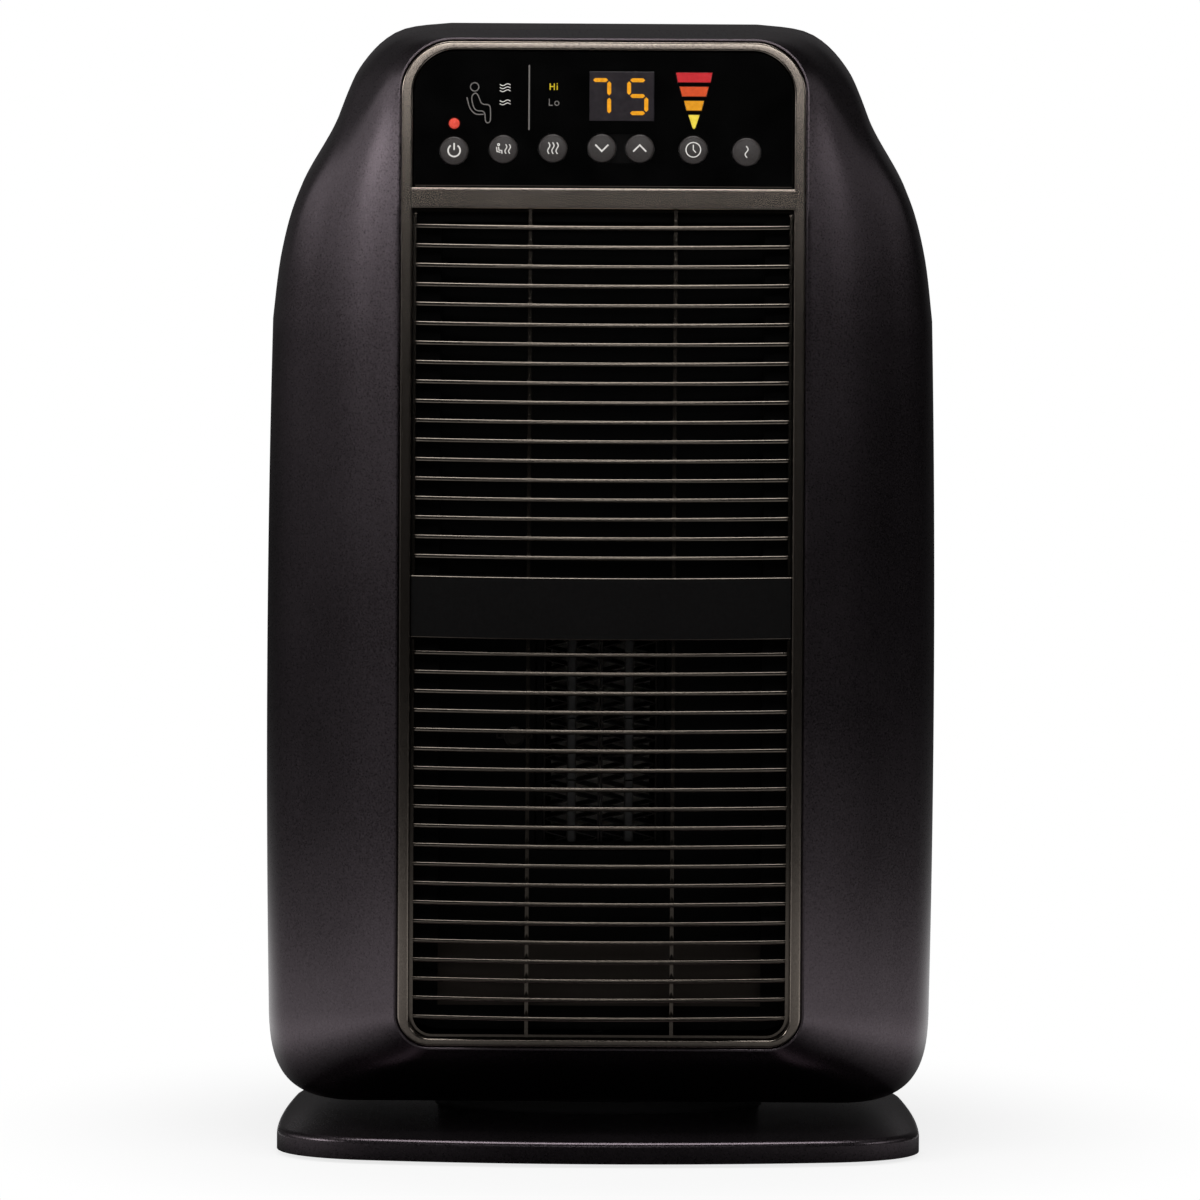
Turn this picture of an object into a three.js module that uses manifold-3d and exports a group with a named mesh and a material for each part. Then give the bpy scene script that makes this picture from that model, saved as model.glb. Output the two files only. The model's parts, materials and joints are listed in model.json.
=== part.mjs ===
// A free-standing ceramic heater: a bottle-shouldered body on a wide base, with a tilted control panel
// above a bowed, louvred grille. Inside, a squirrel-cage blower pushes air through two ceramic cores.
// Front is -Y, up is +Z, and the feet stand on z = 0. Lengths are in millimetres.

import * as THREE from "three";
import { mergeVertices } from "three/addons/utils/BufferGeometryUtils.js";
import Module from "manifold-3d";

const wasm = await Module();
wasm.setup();

// Body outline, as seen from the front
const bodyHeight = 430;
const bodyHalfWidth = 128.5;
const bodyBottom = 15;
const crownHalfWidth = 60;
const shoulderDrop = 112;
const cornerHeight = 38;
const cornerRun = 33;
const shoulderShares = [
  [0.626, 0.031],
  [0.739, 0.158],
  [0.816, 0.363],
  [0.913, 0.567],
  [0.963, 0.772],
];
const sideShares = { top: 0.988, middle: 1.0126, bottom: 0.993 };
const cornerDropShare = 0.63;
const cornerRunShare = 0.86;

// Body depth: the front face leans back on a long arc, and the two shells meet at the seam
const faceFront = -74.5;
const faceBellyHeight = 120;
const faceRadius = 1900;
const seamY = -14;
const bodyBack = 80;
const backHalfWidth = 104;
const backTopDrop = 25;
const backTopFall = 6.5;
const backBottomRise = 13;
const backRoundness = 2.6;
const shellWall = 2.5;
const clearance = 0.3;
const overrun = 4;

// Wings, from the lip round the trim to the seam: how far across and how far back
const wingAcrossShares = [0, 0.35, 0.68, 0.92, 1];
const wingBackShares = [0, 0.19, 0.46, 0.7, 1];
const rearDepthShares = [0, 0.4, 0.72, 0.92, 0.985, 1];

// Trim frame and the two windows in it
const trimHalfWidth = 77.5;
const trimTopGap = 1.5;
const trimBottomRise = 28.3;
const trimTopRadius = 20;
const trimBottomRadius = 12.7;
const trimDepth = 4;
const trimSideWidth = 4.5;
const trimTopWidth = 3.5;
const trimBottomWidth = 3.1;
const panelFaceHeight = 55.7;
const crossbarWidth = 7.9;
const lipWidth = 1.2;
const trimChamfer = 0.7;
const flangeDepth = 2.5;
const innerCornerRadius = 1;

// Control panel lens and what shows in it, measured from the panel's middle
const lensDepth = 2.6;
const lensSetBack = 0.8;
const buttonRadius = 5.4;
const buttonTravel = 1;
const buttonRowHeight = -10.9;
const buttonRowRadius = 1280;
const buttonPlaces = {
  power_button: -57.2,
  personal_mode_button: -38.4,
  room_mode_button: -19.4,
  temperature_down_button: -0.7,
  temperature_up_button: 13.8,
  timer_button: 34.3,
  quiet_button: 54.7,
};
const buttonProud = 1;
const buttonCapDepth = 4;
const buttonFlangeWidth = 1.2;
const buttonFlangeDepth = 1;
const buttonStemRadius = 2.2;
const buttonStemLength = 2.5;
const buttonHoleGap = 0.35;
const pairRecessDepth = 1;
const lampRadius = 2.1;
const lampPlace = { x: -57.2, up: -1.7 };
const lampDome = 0.6;
const displayWindow = { left: -5.5, right: 19.2, bottom: -0.4, top: 18.5 };
const displayBlockDepth = 8;
const windowFlangeWidth = 1.6;
const windowFlangeDepth = 1.4;
const timerBarPlace = 34.55;
const timerBarTop = 18.2;
const timerBarPitch = 5.4;
const timerBarHeight = 3.6;
const timerBarWidth = 14;
const timerBarNarrowing = 3.05;
const timerBarCount = 3;
const timerTriangleWidth = 4.5;
const timerTriangleHeight = 5.2;
const guideMargin = 3;
const guidePlateDepth = 2;
const boardThickness = 1.6;
const controlBoardHalfWidth = 69;
const controlBoardDrop = 23.5;
const controlBoardRise = 19;
const switchSize = 6;
const switchHeight = 3.5;
const lensPostRadius = 2;
const lensPostX = 66.5;
const lensPostDrop = 21;
const lensPostRise = 9;

// Louvred grille
const slatPitch = 7.4;
const firstSlatHeight = 54.65;
const slatHalfWidth = 71.8;
const slatFrontHeight = 1.9;
const slatDepth = 6.8;
const slatSetBack = 2;
const grilleBow = 6.5;
const rimWall = 0.9;
const rimGap = 0.7;
const rimSetBack = 1.2;
const rimTopGap = 2.7;
const borderOverlap = 2.6;
const borderDepth = 2;
const borderSetBack = 7.8;
const ribPlace = 27.8;
const ribWidth = 1.4;
const bandShare = 0.4904;
const bandHeight = 24;
const bandSetBack = 0.9;
const bandWall = 1.5;

// Base
const baseHalfWidth = 123.5;
const baseDepth = 195;
const baseBottom = 1.5;
const baseTop = 10;
const baseFillet = 2.5;
const baseWall = 2.3;
const baseFrontRadius = 500;
const baseCornerStart = 88;
const baseCornerShare = 0.58;
const baseWidestY = -55;
const baseWaist = 6;
const baseWaistY = 40;
const baseSideShare = 0.45;
const baseBackCorner = 66;
const baseCoverThickness = 2.6;
const neckHalfWidth = 62;
const neckHalfDepth = 33;
const neckY = 14;
const footRadius = 9;
const footRecess = 1;
const frontFootInset = 35.5;
const backFootInset = 39.5;
const footEdge = 35.5;

// Screws
const screwRadius = 1.6;
const screwHoleRadius = 2;
const screwHeadRadius = 3.6;
const screwHeadHeight = 2.2;
const baseScrewX = 45;
const baseScrewFrontY = 2;
const baseScrewBackY = 28;
const baseScrewLength = 18;
const baseBossRadius = 4.6;
const baseBossHeight = 11;
const lowerWellOffset = 10.5;
const upperWellOffset = 8.5;
const lowerWellRise = 47;
const upperWellDrop = 98;
const wellRadius = 5.8;
const wellBore = 4;
const wellFloorY = 2;
const wellScrewLength = 28;

// Rear: intake grille, carry grip and cord gland
const intakeHalfWidth = 79;
const intakeBottom = 100;
const intakeTopDrop = 110;
const intakeFlange = 5;
const intakeFlangeDepth = 1.5;
const intakeRows = 13;
const intakeColumns = 2;
const intakeSlotHeight = 6.5;
const intakeMargin = 7;
const intakeRib = 5;
const intakeDepth = 3.5;
const gripHalfWidth = 48;
const gripHeight = 27;
const gripTopDrop = 58;
const gripHook = 8;
const gripDepth = 30;
const gripWall = 2.5;
const glandX = -78;
const glandRise = 37;
const glandRadius = 7.5;
const glandBore = 4;
const glandFlange = 2.4;
const glandFlangeDepth = 2.5;
const glandBarb = 1;

// Outlet duct
const ductHalfWidth = 64;
const ductWall = 2;
const ductBottom = 51;
const ductTopGap = 3.9;
const ductBackY = -44;
const ductBackTopY = -34;
const ductFloorBack = 79;
const ductSlopeGap = 13;
const ductFlangeHalfWidth = 75.2;
const ductSetBack = 10.1;
const standoffRadius = 3.6;
const standoffX = 31;
const standoffInset = 11;

// Ceramic cores and their frame
const coreHeight = 96;
const coreBottom = 119;
const coreWidth = 21.7;
const coreDepth = 14;
const coreFrontY = -44;
const coreColumnWidth = 3.6;
const corePlateWidth = 0.8;
const coreFinLegs = 14;
const coreFinSpread = 0.7;
const coreFinEnd = 0.5;
const coreFinBite = 0.3;
const heaterFrameWall = 2.4;
const heaterFrameBackY = -28;
const heaterFrameFrontY = -47.5;
const cutoutX = -33;
const cutoutRise = 41.5;
const cutoutRadius = 4;
const cutoutHeight = 5;
const cutoutCrownShare = 0.8;
const cutoutTabWidth = 2.4;
const cutoutTabThickness = 0.6;
const cutoutTabReach = 7;

// Blower
const shaftY = 18;
const shaftZ = 153;
const wheelRadius = 37;
const wheelBladeInner = 29.5;
const wheelBladeOuter = 36.4;
const wheelHalfWidth = 19;
const wheelPlateThickness = 1.6;
const wheelRingWidth = 6.3;
const wheelBlades = 20;
const wheelBladeThickness = 1;
const wheelBladeLean = 0.35;
const wheelHubRadius = 8;
const wheelHubLength = 14;
const wheelHubShare = 0.8;
const volutePlay = 4;
const voluteGrowth = 21;
const voluteWall = 1.8;
const voluteHalfWidth = 22;
const voluteFrontY = -27.7;
const voluteInletRadius = 29;
const voluteLipHeight = 3;
const voluteFlangeHalfWidth = 36;
const voluteFlangeDepth = 2.2;
const shaftHoleRadius = 9;

// Motor
const shaftRadius = 2;
const bushGap = 0.4;
const rotorRadius = 12.4;
const rotorBoreGap = 0.8;
const stackThickness = 18;
const stackHalfDepth = 24;
const stackTop = 24;
const stackBottom = 40;
const stackWindow = { halfWidth: 14, top: 17, bottom: 32 };
const bracketThickness = 3;
const bracketHalfWidth = 8;
const bracketReach = 20;
const bracketPostRadius = 3;
const bracketGap = 8;
const bearingRadius = 7;
const bearingLength = 6;
const coilHalfLength = 12;
const coilBuild = 4.5;

// Power board
const powerBoardHalfWidth = 55;
const powerBoardBottom = 34;
const powerBoardTop = 90;
const powerBoardY = 55;
const boardPostRadius = 3.5;
const boardPostInset = 7;
const relayX = -30;
const relayPitch = 22;
const relayCount = 2;
const relaySize = { width: 16, depth: 14, height: 20 };
const sinkSize = { width: 26, depth: 16, height: 22 };
const sinkFins = 5;
const sinkFinThickness = 1.8;
const capacitorRadius = 6;
const capacitorLength = 16;
const sensorRadius = 2;
const sensorHeight = 12;
const sensorX = 46;

// Tip-over switch
const plungerRadius = 2.4;
const plungerTravel = 3;
const plungerHoleRadius = 3;
const plungerFootRadius = 4;
const plungerFootHeight = 1.1;
const plungerCollarRadius = 4.6;
const plungerCollarHeight = 1.5;
const plungerStop = 0.5;
const guideHalfWidth = 8;
const guideHeight = 19;
const guideWall = 1.8;
const springRadius = 3.6;
const springWire = 0.9;
const springTurns = 4;
const springSteps = 8;
const springSides = 4;
const microSwitch = { halfWidth: 10, halfDepth: 3.2, height: 10, notchHalfWidth: 5, notchHeight: 3 };

// Wires
const leadRadius = 1.4;
const cableRadius = 2;
const wireSides = 8;
const wireStep = 14;
const cableBendShares = { drop: 1.5, upper: 0.3, lower: 0.8 };

// Facets
const outlineSteps = { top: 1, arc: 4, upperSide: 4, lowerSide: 3, lowerArc: 4, bottom: 1 };
const lensWindowSteps = { top: 1, arc: 4, upperSide: 1, lowerSide: 1, lowerArc: 1, bottom: 1 };
const grilleWindowSteps = { top: 1, arc: 1, upperSide: 2, lowerSide: 2, lowerArc: 3, bottom: 1 };
const baseSteps = { front: 3, frontCorner: 5, side: 2, backCorner: 5, back: 1 };
const ductSteps = 4;
const slatSteps = 4;
const bandSteps = 6;
const barSteps = 3;
const roundSides = 12;
const smallSides = 8;
const screwSides = 8;
const wheelSides = 20;
const voluteSteps = 14;
const inletSides = 16;

// Finishes: colour, roughness and metalness of each material
const finishes = {
  bodyPlastic: { color: 0x353031, roughness: 0.55, metalness: 0.05 },
  trimPaint: { color: 0x837970, roughness: 0.38, metalness: 0.6 },
  glossBlack: { color: 0x0b0b0c, roughness: 0.08, metalness: 0 },
  buttonPlastic: { color: 0x4a4648, roughness: 0.45, metalness: 0 },
  grillePlastic: { color: 0x2a2624, roughness: 0.5, metalness: 0.1 },
  mattePlastic: { color: 0x1d1b1c, roughness: 0.75, metalness: 0 },
  displayTint: { color: 0x3a3436, roughness: 0.2, metalness: 0 },
  amberLight: { color: 0xf5a800, roughness: 0.4, metalness: 0 },
  redLight: { color: 0xd8262c, roughness: 0.3, metalness: 0 },
  circuitBoard: { color: 0x1f5a3a, roughness: 0.6, metalness: 0 },
  heatPlastic: { color: 0x55504b, roughness: 0.7, metalness: 0 },
  aluminium: { color: 0xb8b8b6, roughness: 0.4, metalness: 0.9 },
  steel: { color: 0x8d9094, roughness: 0.35, metalness: 1 },
  copper: { color: 0xa85f32, roughness: 0.4, metalness: 0.9 },
  rubber: { color: 0x1a1a1a, roughness: 0.9, metalness: 0 },
  wireSleeve: { color: 0xd9d4c8, roughness: 0.6, metalness: 0 },
  wheelPlastic: { color: 0xdedbd4, roughness: 0.5, metalness: 0 },
};

// Values worked out from the sizes above
const halfTurn = Math.PI;
const quarterTurn = halfTurn / 2;
const fullTurn = halfTurn * 2;
const shoulderFoot = bodyHeight - shoulderDrop;
const cornerStart = bodyBottom + cornerHeight;
const backTop = bodyHeight - backTopDrop;
const backBottom = bodyBottom + backBottomRise;
const trimTop = bodyHeight - trimTopGap;
const trimBottom = bodyBottom + trimBottomRise;
const crossbarTop = trimTop - panelFaceHeight;
const crossbarBottom = crossbarTop - crossbarWidth;
const bandBottom = mix(trimBottom, crossbarBottom, bandShare);
const bandTop = bandBottom + bandHeight;
const intakeTop = bodyHeight - intakeTopDrop;
const gripTop = bodyHeight - gripTopDrop;
const gripBottom = gripTop - gripHeight;
const ductTop = crossbarBottom - ductTopGap;
const windowHalfWidth = trimHalfWidth - trimSideWidth;
const lensWindowTop = trimTop - trimTopWidth;
const grilleWindowBottom = trimBottom + trimBottomWidth;
const panelHeight = (crossbarTop + lensWindowTop) / 2;
const panelTilt = Math.atan((panelHeight - faceBellyHeight) / faceRadius);
const panelHalfHeight = (lensWindowTop - crossbarTop) / 2 / Math.cos(panelTilt);
const lensBack = lensSetBack + lensDepth;
const buttonFront = lensSetBack - buttonProud;
const stemEnd = buttonFront + buttonCapDepth + buttonFlangeDepth + buttonStemLength;
const switchFront = stemEnd + buttonTravel + clearance;
const controlBoardFront = switchFront + switchHeight;
const bodyInsideBottom = bodyBottom + shellWall;
const bodyInsideBack = bodyBack - shellWall;
const rimHalfWidth = windowHalfWidth - rimGap;
const borderHalfWidth = windowHalfWidth + borderOverlap;
const guideBottom = bodyInsideBottom + clearance;
const guideTop = guideBottom + guideHeight;
const coreTop = coreBottom + coreHeight;
const ductSlopeStart = coreTop + ductSlopeGap;
const standoffHeights = [coreBottom + standoffInset, coreTop - standoffInset];
const cutoutPlace = { x: cutoutX, z: coreBottom + cutoutRise };
const glandPlace = { x: glandX, z: bodyBottom + glandRise };
const slatRoom = crossbarBottom - slatFrontHeight - firstSlatHeight - clearance;
const slatPlaces = Math.floor(slatRoom / slatPitch) + 1;
const bandFirstPlace = Math.ceil((bandBottom - slatFrontHeight - firstSlatHeight) / slatPitch);
const bandLastPlace = Math.floor((bandTop + slatFrontHeight - firstSlatHeight) / slatPitch);
const lensPostPlaces = fourCorners(lensPostX, -lensPostDrop, lensPostX, lensPostRise);
const footY = baseDepth / 2 - footEdge;
const footPlaces = fourCorners(baseHalfWidth - frontFootInset, -footY, baseHalfWidth - backFootInset, footY);
const baseScrewPlaces = fourCorners(baseScrewX, baseScrewFrontY, baseScrewX, baseScrewBackY);
const wellPlaces = fourCorners(
  trimHalfWidth + lowerWellOffset,
  bodyBottom + lowerWellRise,
  trimHalfWidth + upperWellOffset,
  bodyHeight - upperWellDrop,
);
const relayPlaces = Array.from({ length: relayCount }, (_, i) => relayX + i * relayPitch);
const timerBars = Array.from({ length: timerBarCount }, (_, i) => {
  const half = (timerBarWidth - i * timerBarNarrowing) / 2;
  const top = timerBarTop - i * timerBarPitch;
  return { left: timerBarPlace - half, right: timerBarPlace + half, bottom: top - timerBarHeight, top };
});
const timerTriangle = {
  left: timerBarPlace - timerTriangleWidth / 2,
  right: timerBarPlace + timerTriangleWidth / 2,
  bottom: timerBarTop - timerBarCount * timerBarPitch - timerTriangleHeight,
  top: timerBarTop - timerBarCount * timerBarPitch,
};
const windingX = -voluteHalfWidth - voluteWall - clearance - bracketGap - bracketThickness;

// A left and right pair at one place, and another pair at a second
function fourCorners(firstX, first, secondX, second) {
  return [[-firstX, first], [firstX, first], [-secondX, second], [secondX, second]];
}

function faceAt(height) {
  return faceFront + (height - faceBellyHeight) ** 2 / (2 * faceRadius);
}

function mix(start, end, share) {
  return start + (end - start) * share;
}

// Shapes and solids

function outward(geometry) {
  const corners = geometry.attributes.position;
  const [a, b, c] = [new THREE.Vector3(), new THREE.Vector3(), new THREE.Vector3()];
  let volume = 0;
  for (let i = 0; i < corners.count; i += 3) {
    a.fromBufferAttribute(corners, i);
    b.fromBufferAttribute(corners, i + 1);
    c.fromBufferAttribute(corners, i + 2);
    volume += a.dot(b.cross(c));
  }
  if (volume < 0) {
    for (let i = 0; i < corners.count; i += 3) {
      b.fromBufferAttribute(corners, i + 1);
      c.fromBufferAttribute(corners, i + 2);
      corners.setXYZ(i + 1, c.x, c.y, c.z);
      corners.setXYZ(i + 2, b.x, b.y, b.z);
    }
  }
  geometry.computeVertexNormals();
  return geometry;
}

function fromTriangles(points) {
  const geometry = new THREE.BufferGeometry().setFromPoints(points);
  return outward(geometry);
}

function ringNormal(ring) {
  const normal = new THREE.Vector3();
  ring.forEach((point, i) => {
    normal.add(new THREE.Vector3().crossVectors(point, ring[(i + 1) % ring.length]));
  });
  return normal.normalize();
}

function capTriangles(ring, facing) {
  const normal = ringNormal(ring);
  const across = Math.abs(normal.x) < Math.SQRT1_2 ? new THREE.Vector3(1, 0, 0) : new THREE.Vector3(0, 1, 0);
  const axisA = new THREE.Vector3().crossVectors(normal, across).normalize();
  const axisB = new THREE.Vector3().crossVectors(normal, axisA);
  const flat = ring.map((point) => new THREE.Vector2(point.dot(axisA), point.dot(axisB)));
  const points = [];
  for (const [i, j, k] of THREE.ShapeUtils.triangulateShape(flat, [])) {
    const side = new THREE.Vector3().subVectors(ring[j], ring[i]);
    const turn = side.cross(new THREE.Vector3().subVectors(ring[k], ring[i])).dot(normal) * facing;
    points.push(ring[i], turn > 0 ? ring[j] : ring[k], turn > 0 ? ring[k] : ring[j]);
  }
  return points;
}

// A closed solid through rings of equally many points. A looped one joins its last ring to its first.
function loft(rings, looped = false) {
  const points = [];
  const spans = looped ? rings.length : rings.length - 1;
  for (let i = 0; i < spans; i += 1) {
    const here = rings[i];
    const there = rings[(i + 1) % rings.length];
    here.forEach((corner, j) => {
      const next = (j + 1) % here.length;
      points.push(corner, here[next], there[next]);
      points.push(corner, there[next], there[j]);
    });
  }
  if (!looped) {
    points.push(...capTriangles(rings[0], -1));
    points.push(...capTriangles(rings[rings.length - 1], 1));
  }
  return fromTriangles(points);
}

function solidOf(geometry) {
  const bare = geometry.clone();
  bare.deleteAttribute("normal");
  bare.deleteAttribute("uv");
  const merged = mergeVertices(bare);
  const mesh = new wasm.Mesh({
    numProp: 3,
    vertProperties: new Float32Array(merged.attributes.position.array),
    triVerts: new Uint32Array(merged.index.array),
  });
  return new wasm.Manifold(mesh);
}

function geometryOf(solid) {
  const mesh = solid.getMesh();
  const geometry = new THREE.BufferGeometry();
  geometry.setAttribute("position", new THREE.BufferAttribute(mesh.vertProperties, mesh.numProp));
  geometry.setIndex(new THREE.BufferAttribute(mesh.triVerts, 1));
  const loose = geometry.toNonIndexed();
  loose.computeVertexNormals();
  return loose;
}

function joined(...geometries) {
  return geometryOf(geometries.map(solidOf).reduce((whole, piece) => whole.add(piece)));
}

function carved(geometry, ...cutters) {
  const whole = solidOf(geometry);
  return geometryOf(cutters.map(solidOf).reduce((rest, cutter) => rest.subtract(cutter), whole));
}

function common(first, second) {
  return geometryOf(solidOf(first).intersect(solidOf(second)));
}

function block(x, y, z) {
  const geometry = new THREE.BoxGeometry(x[1] - x[0], y[1] - y[0], z[1] - z[0]);
  return geometry.translate((x[0] + x[1]) / 2, (y[0] + y[1]) / 2, (z[0] + z[1]) / 2);
}

function shapeOf(points) {
  return new THREE.Shape(points.map(([x, y]) => new THREE.Vector2(x, y)));
}

function circle(x, y, radius) {
  return new THREE.Path().absarc(x, y, radius, 0, fullTurn);
}

function extruded(shape, depth, sides = smallSides) {
  return new THREE.ExtrudeGeometry(shape, { depth, bevelEnabled: false, steps: 1, curveSegments: sides / 2 });
}

// A plan outline in X and Y, raised from one height to another
function upright(shape, bottom, top, sides) {
  return extruded(shape, top - bottom, sides).translate(0, 0, bottom);
}

// A front-view outline in X and Z, from a front Y to a back Y
function frontal(shape, front, back, sides) {
  return extruded(shape, back - front, sides).rotateX(quarterTurn).translate(0, back, 0);
}

// A side-view outline in Y and Z, from a left X to a right X
function sideways(shape, left, right, sides) {
  const turned = new THREE.Matrix4().makeBasis(
    new THREE.Vector3(0, 1, 0),
    new THREE.Vector3(0, 0, 1),
    new THREE.Vector3(1, 0, 0),
  );
  return extruded(shape, right - left, sides).applyMatrix4(turned).translate(left, 0, 0);
}

// A turned piece about Z, from a profile of radius and height
function turnedUp(profile, sides = smallSides) {
  const points = profile.map(([radius, height]) => new THREE.Vector2(radius, height));
  const geometry = new THREE.LatheGeometry(points, sides).toNonIndexed();
  return withoutSlivers(geometry).rotateX(quarterTurn);
}

// A turned piece about Y, with its heights running towards the back
function turnedBack(profile, sides = smallSides) {
  return turnedUp(profile, sides).rotateX(-quarterTurn);
}

// A turned piece about X, with its heights running to the right
function turnedAcross(profile, sides = smallSides) {
  return turnedUp(profile, sides).rotateY(quarterTurn);
}

function withoutSlivers(geometry) {
  const corners = geometry.attributes.position;
  const points = [];
  for (let i = 0; i < corners.count; i += 3) {
    const face = [0, 1, 2].map((k) => new THREE.Vector3().fromBufferAttribute(corners, i + k));
    const area = new THREE.Triangle(...face).getArea();
    if (area > Number.EPSILON) {
      points.push(...face);
    }
  }
  return fromTriangles(points);
}

function rod(radius, bottom, top, sides) {
  return turnedUp([[0, bottom], [radius, bottom], [radius, top], [0, top]], sides);
}

function rodBack(radius, front, back, sides) {
  return turnedBack([[0, front], [radius, front], [radius, back], [0, back]], sides);
}

function rodAcross(radius, left, right, sides) {
  return turnedAcross([[0, left], [radius, left], [radius, right], [0, right]], sides);
}

function sleeveAcross(inner, outer, left, right, sides) {
  return turnedAcross([[inner, left], [outer, left], [outer, right], [inner, right], [inner, left]], sides);
}

// A round wire through hand-picked points
function wire(points, radius) {
  const path = new THREE.CatmullRomCurve3(points.map(([x, y, z]) => new THREE.Vector3(x, y, z)));
  const section = new THREE.Shape().absarc(0, 0, radius, 0, fullTurn);
  const steps = Math.round(path.getLength() / wireStep);
  const settings = { steps, extrudePath: path, bevelEnabled: false, curveSegments: wireSides / 2 };
  return new THREE.ExtrudeGeometry(section, settings);
}

// Outlines of the body

function traced(stretches) {
  const points = stretches.flatMap(([curve, steps]) => curve.getSpacedPoints(steps).slice(0, -1));
  const [lastCurve] = stretches[stretches.length - 1];
  points.push(lastCurve.getPoint(1));
  return points;
}

function mirrored(half) {
  const left = half.slice(1, -1).reverse().map((point) => new THREE.Vector2(-point.x, point.y));
  return [...half, ...left];
}

function line(x0, y0, x1, y1) {
  return new THREE.LineCurve(new THREE.Vector2(x0, y0), new THREE.Vector2(x1, y1));
}

function silhouetteOutline() {
  const shoulderPoints = [
    [crownHalfWidth / bodyHalfWidth, 0],
    ...shoulderShares,
    [sideShares.top, 1],
  ].map(([across, down]) => new THREE.Vector2(across * bodyHalfWidth, bodyHeight - down * shoulderDrop));
  const sideTop = shoulderPoints[shoulderPoints.length - 1];
  const sideFoot = new THREE.Vector2(sideShares.bottom * bodyHalfWidth, cornerStart);
  const sideMiddle = new THREE.Vector2(sideShares.middle * bodyHalfWidth, (sideTop.y + sideFoot.y) / 2);
  const cornerEnd = new THREE.Vector2(sideFoot.x - cornerRun, bodyBottom);
  const corner = new THREE.CubicBezierCurve(
    sideFoot,
    new THREE.Vector2(sideFoot.x, sideFoot.y - cornerHeight * cornerDropShare),
    new THREE.Vector2(cornerEnd.x + cornerRun * cornerRunShare, bodyBottom),
    cornerEnd,
  );
  return mirrored(traced([
    [line(0, bodyHeight, crownHalfWidth, bodyHeight), outlineSteps.top],
    [new THREE.SplineCurve(shoulderPoints), outlineSteps.arc + outlineSteps.upperSide],
    [new THREE.QuadraticBezierCurve(sideTop, sideMiddle, sideFoot), outlineSteps.lowerSide],
    [corner, outlineSteps.lowerArc],
    [line(cornerEnd.x, bodyBottom, 0, bodyBottom), outlineSteps.bottom],
  ]));
}

function arc(x, y, radius, from, to) {
  return new THREE.EllipseCurve(x, y, radius, radius, from, to, true);
}

function windowOutline(size, steps) {
  const { halfWidth, top, bottom, topRadius, bottomRadius, waist } = size;
  const topInner = halfWidth - topRadius;
  const bottomInner = halfWidth - bottomRadius;
  return mirrored(traced([
    [line(0, top, topInner, top), steps.top],
    [arc(topInner, top - topRadius, topRadius, quarterTurn, 0), steps.arc],
    [line(halfWidth, top - topRadius, halfWidth, waist), steps.upperSide],
    [line(halfWidth, waist, halfWidth, bottom + bottomRadius), steps.lowerSide],
    [arc(bottomInner, bottom + bottomRadius, bottomRadius, 0, -quarterTurn), steps.lowerArc],
    [line(bottomInner, bottom, 0, bottom), steps.bottom],
  ]));
}

function trimOutline(side, top = side, bottom = side) {
  const size = {
    halfWidth: trimHalfWidth + side,
    top: trimTop + top,
    bottom: trimBottom - bottom,
    topRadius: trimTopRadius + Math.min(side, top),
    bottomRadius: trimBottomRadius + Math.min(side, bottom),
    waist: shoulderFoot,
  };
  return windowOutline(size, outlineSteps);
}

function onFace(outline, setBack) {
  return outline.map((point) => new THREE.Vector3(point.x, faceAt(point.y) + setBack, point.y));
}

// A frame between two matching outlines, bent to the lean of the front face
function bentFrame(outer, inner, setBack, depth) {
  return loft([
    onFace(outer, setBack),
    onFace(outer, setBack + depth),
    onFace(inner, setBack + depth),
    onFace(inner, setBack),
  ], true);
}

function surfaceNormals(rings) {
  return rings.map((ring, i) => ring.map((point, j) => {
    const before = ring[(j + ring.length - 1) % ring.length];
    const after = ring[(j + 1) % ring.length];
    const along = new THREE.Vector3().subVectors(after, before);
    const front = rings[Math.max(i - 1, 0)][j];
    const back = rings[Math.min(i + 1, rings.length - 1)][j];
    return along.cross(new THREE.Vector3().subVectors(back, front)).normalize();
  }));
}

function offsetInside(rings, wall) {
  const normals = surfaceNormals(rings);
  return rings.map((ring, i) => ring.map((point, j) => point.clone().addScaledVector(normals[i][j], -wall)));
}

function levelled(ring, y) {
  return ring.map((point) => new THREE.Vector3(point.x, y, point.z));
}

// Body shells

function frontRings() {
  const lip = trimOutline(lipWidth);
  const seam = silhouetteOutline();
  const seamFront = seamY - clearance / 2;
  return wingAcrossShares.map((across, i) => lip.map((point, j) => new THREE.Vector3(
    mix(point.x, seam[j].x, across),
    mix(faceAt(point.y), seamFront, wingBackShares[i]),
    mix(point.y, seam[j].y, across),
  )));
}

// From 0 at the foot of the shoulders and below to 1 at the crown, and mostly near the crown
function crownShare(height) {
  return Math.min(Math.max((height - shoulderFoot) / shoulderDrop, 0), 1) ** 3;
}

// The top of the rear shell curves down behind the seam
function rearRings() {
  const seam = silhouetteOutline();
  const seamBack = seamY + clearance / 2;
  const scaleX = backHalfWidth / bodyHalfWidth;
  const scaleZ = (backTop - backBottom) / (bodyHeight - bodyBottom);
  return rearDepthShares.map((depth) => {
    const inward = 1 - (1 - depth ** backRoundness) ** (1 / backRoundness);
    const level = inward ** 2;
    const fall = backTopFall * depth ** 2;
    return seam.map((point) => new THREE.Vector3(
      mix(point.x, point.x * scaleX, inward),
      mix(seamBack, bodyBack, depth),
      mix(point.y, backBottom + (point.y - bodyBottom) * scaleZ, level) - fall * crownShare(point.y),
    ));
  });
}

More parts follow.
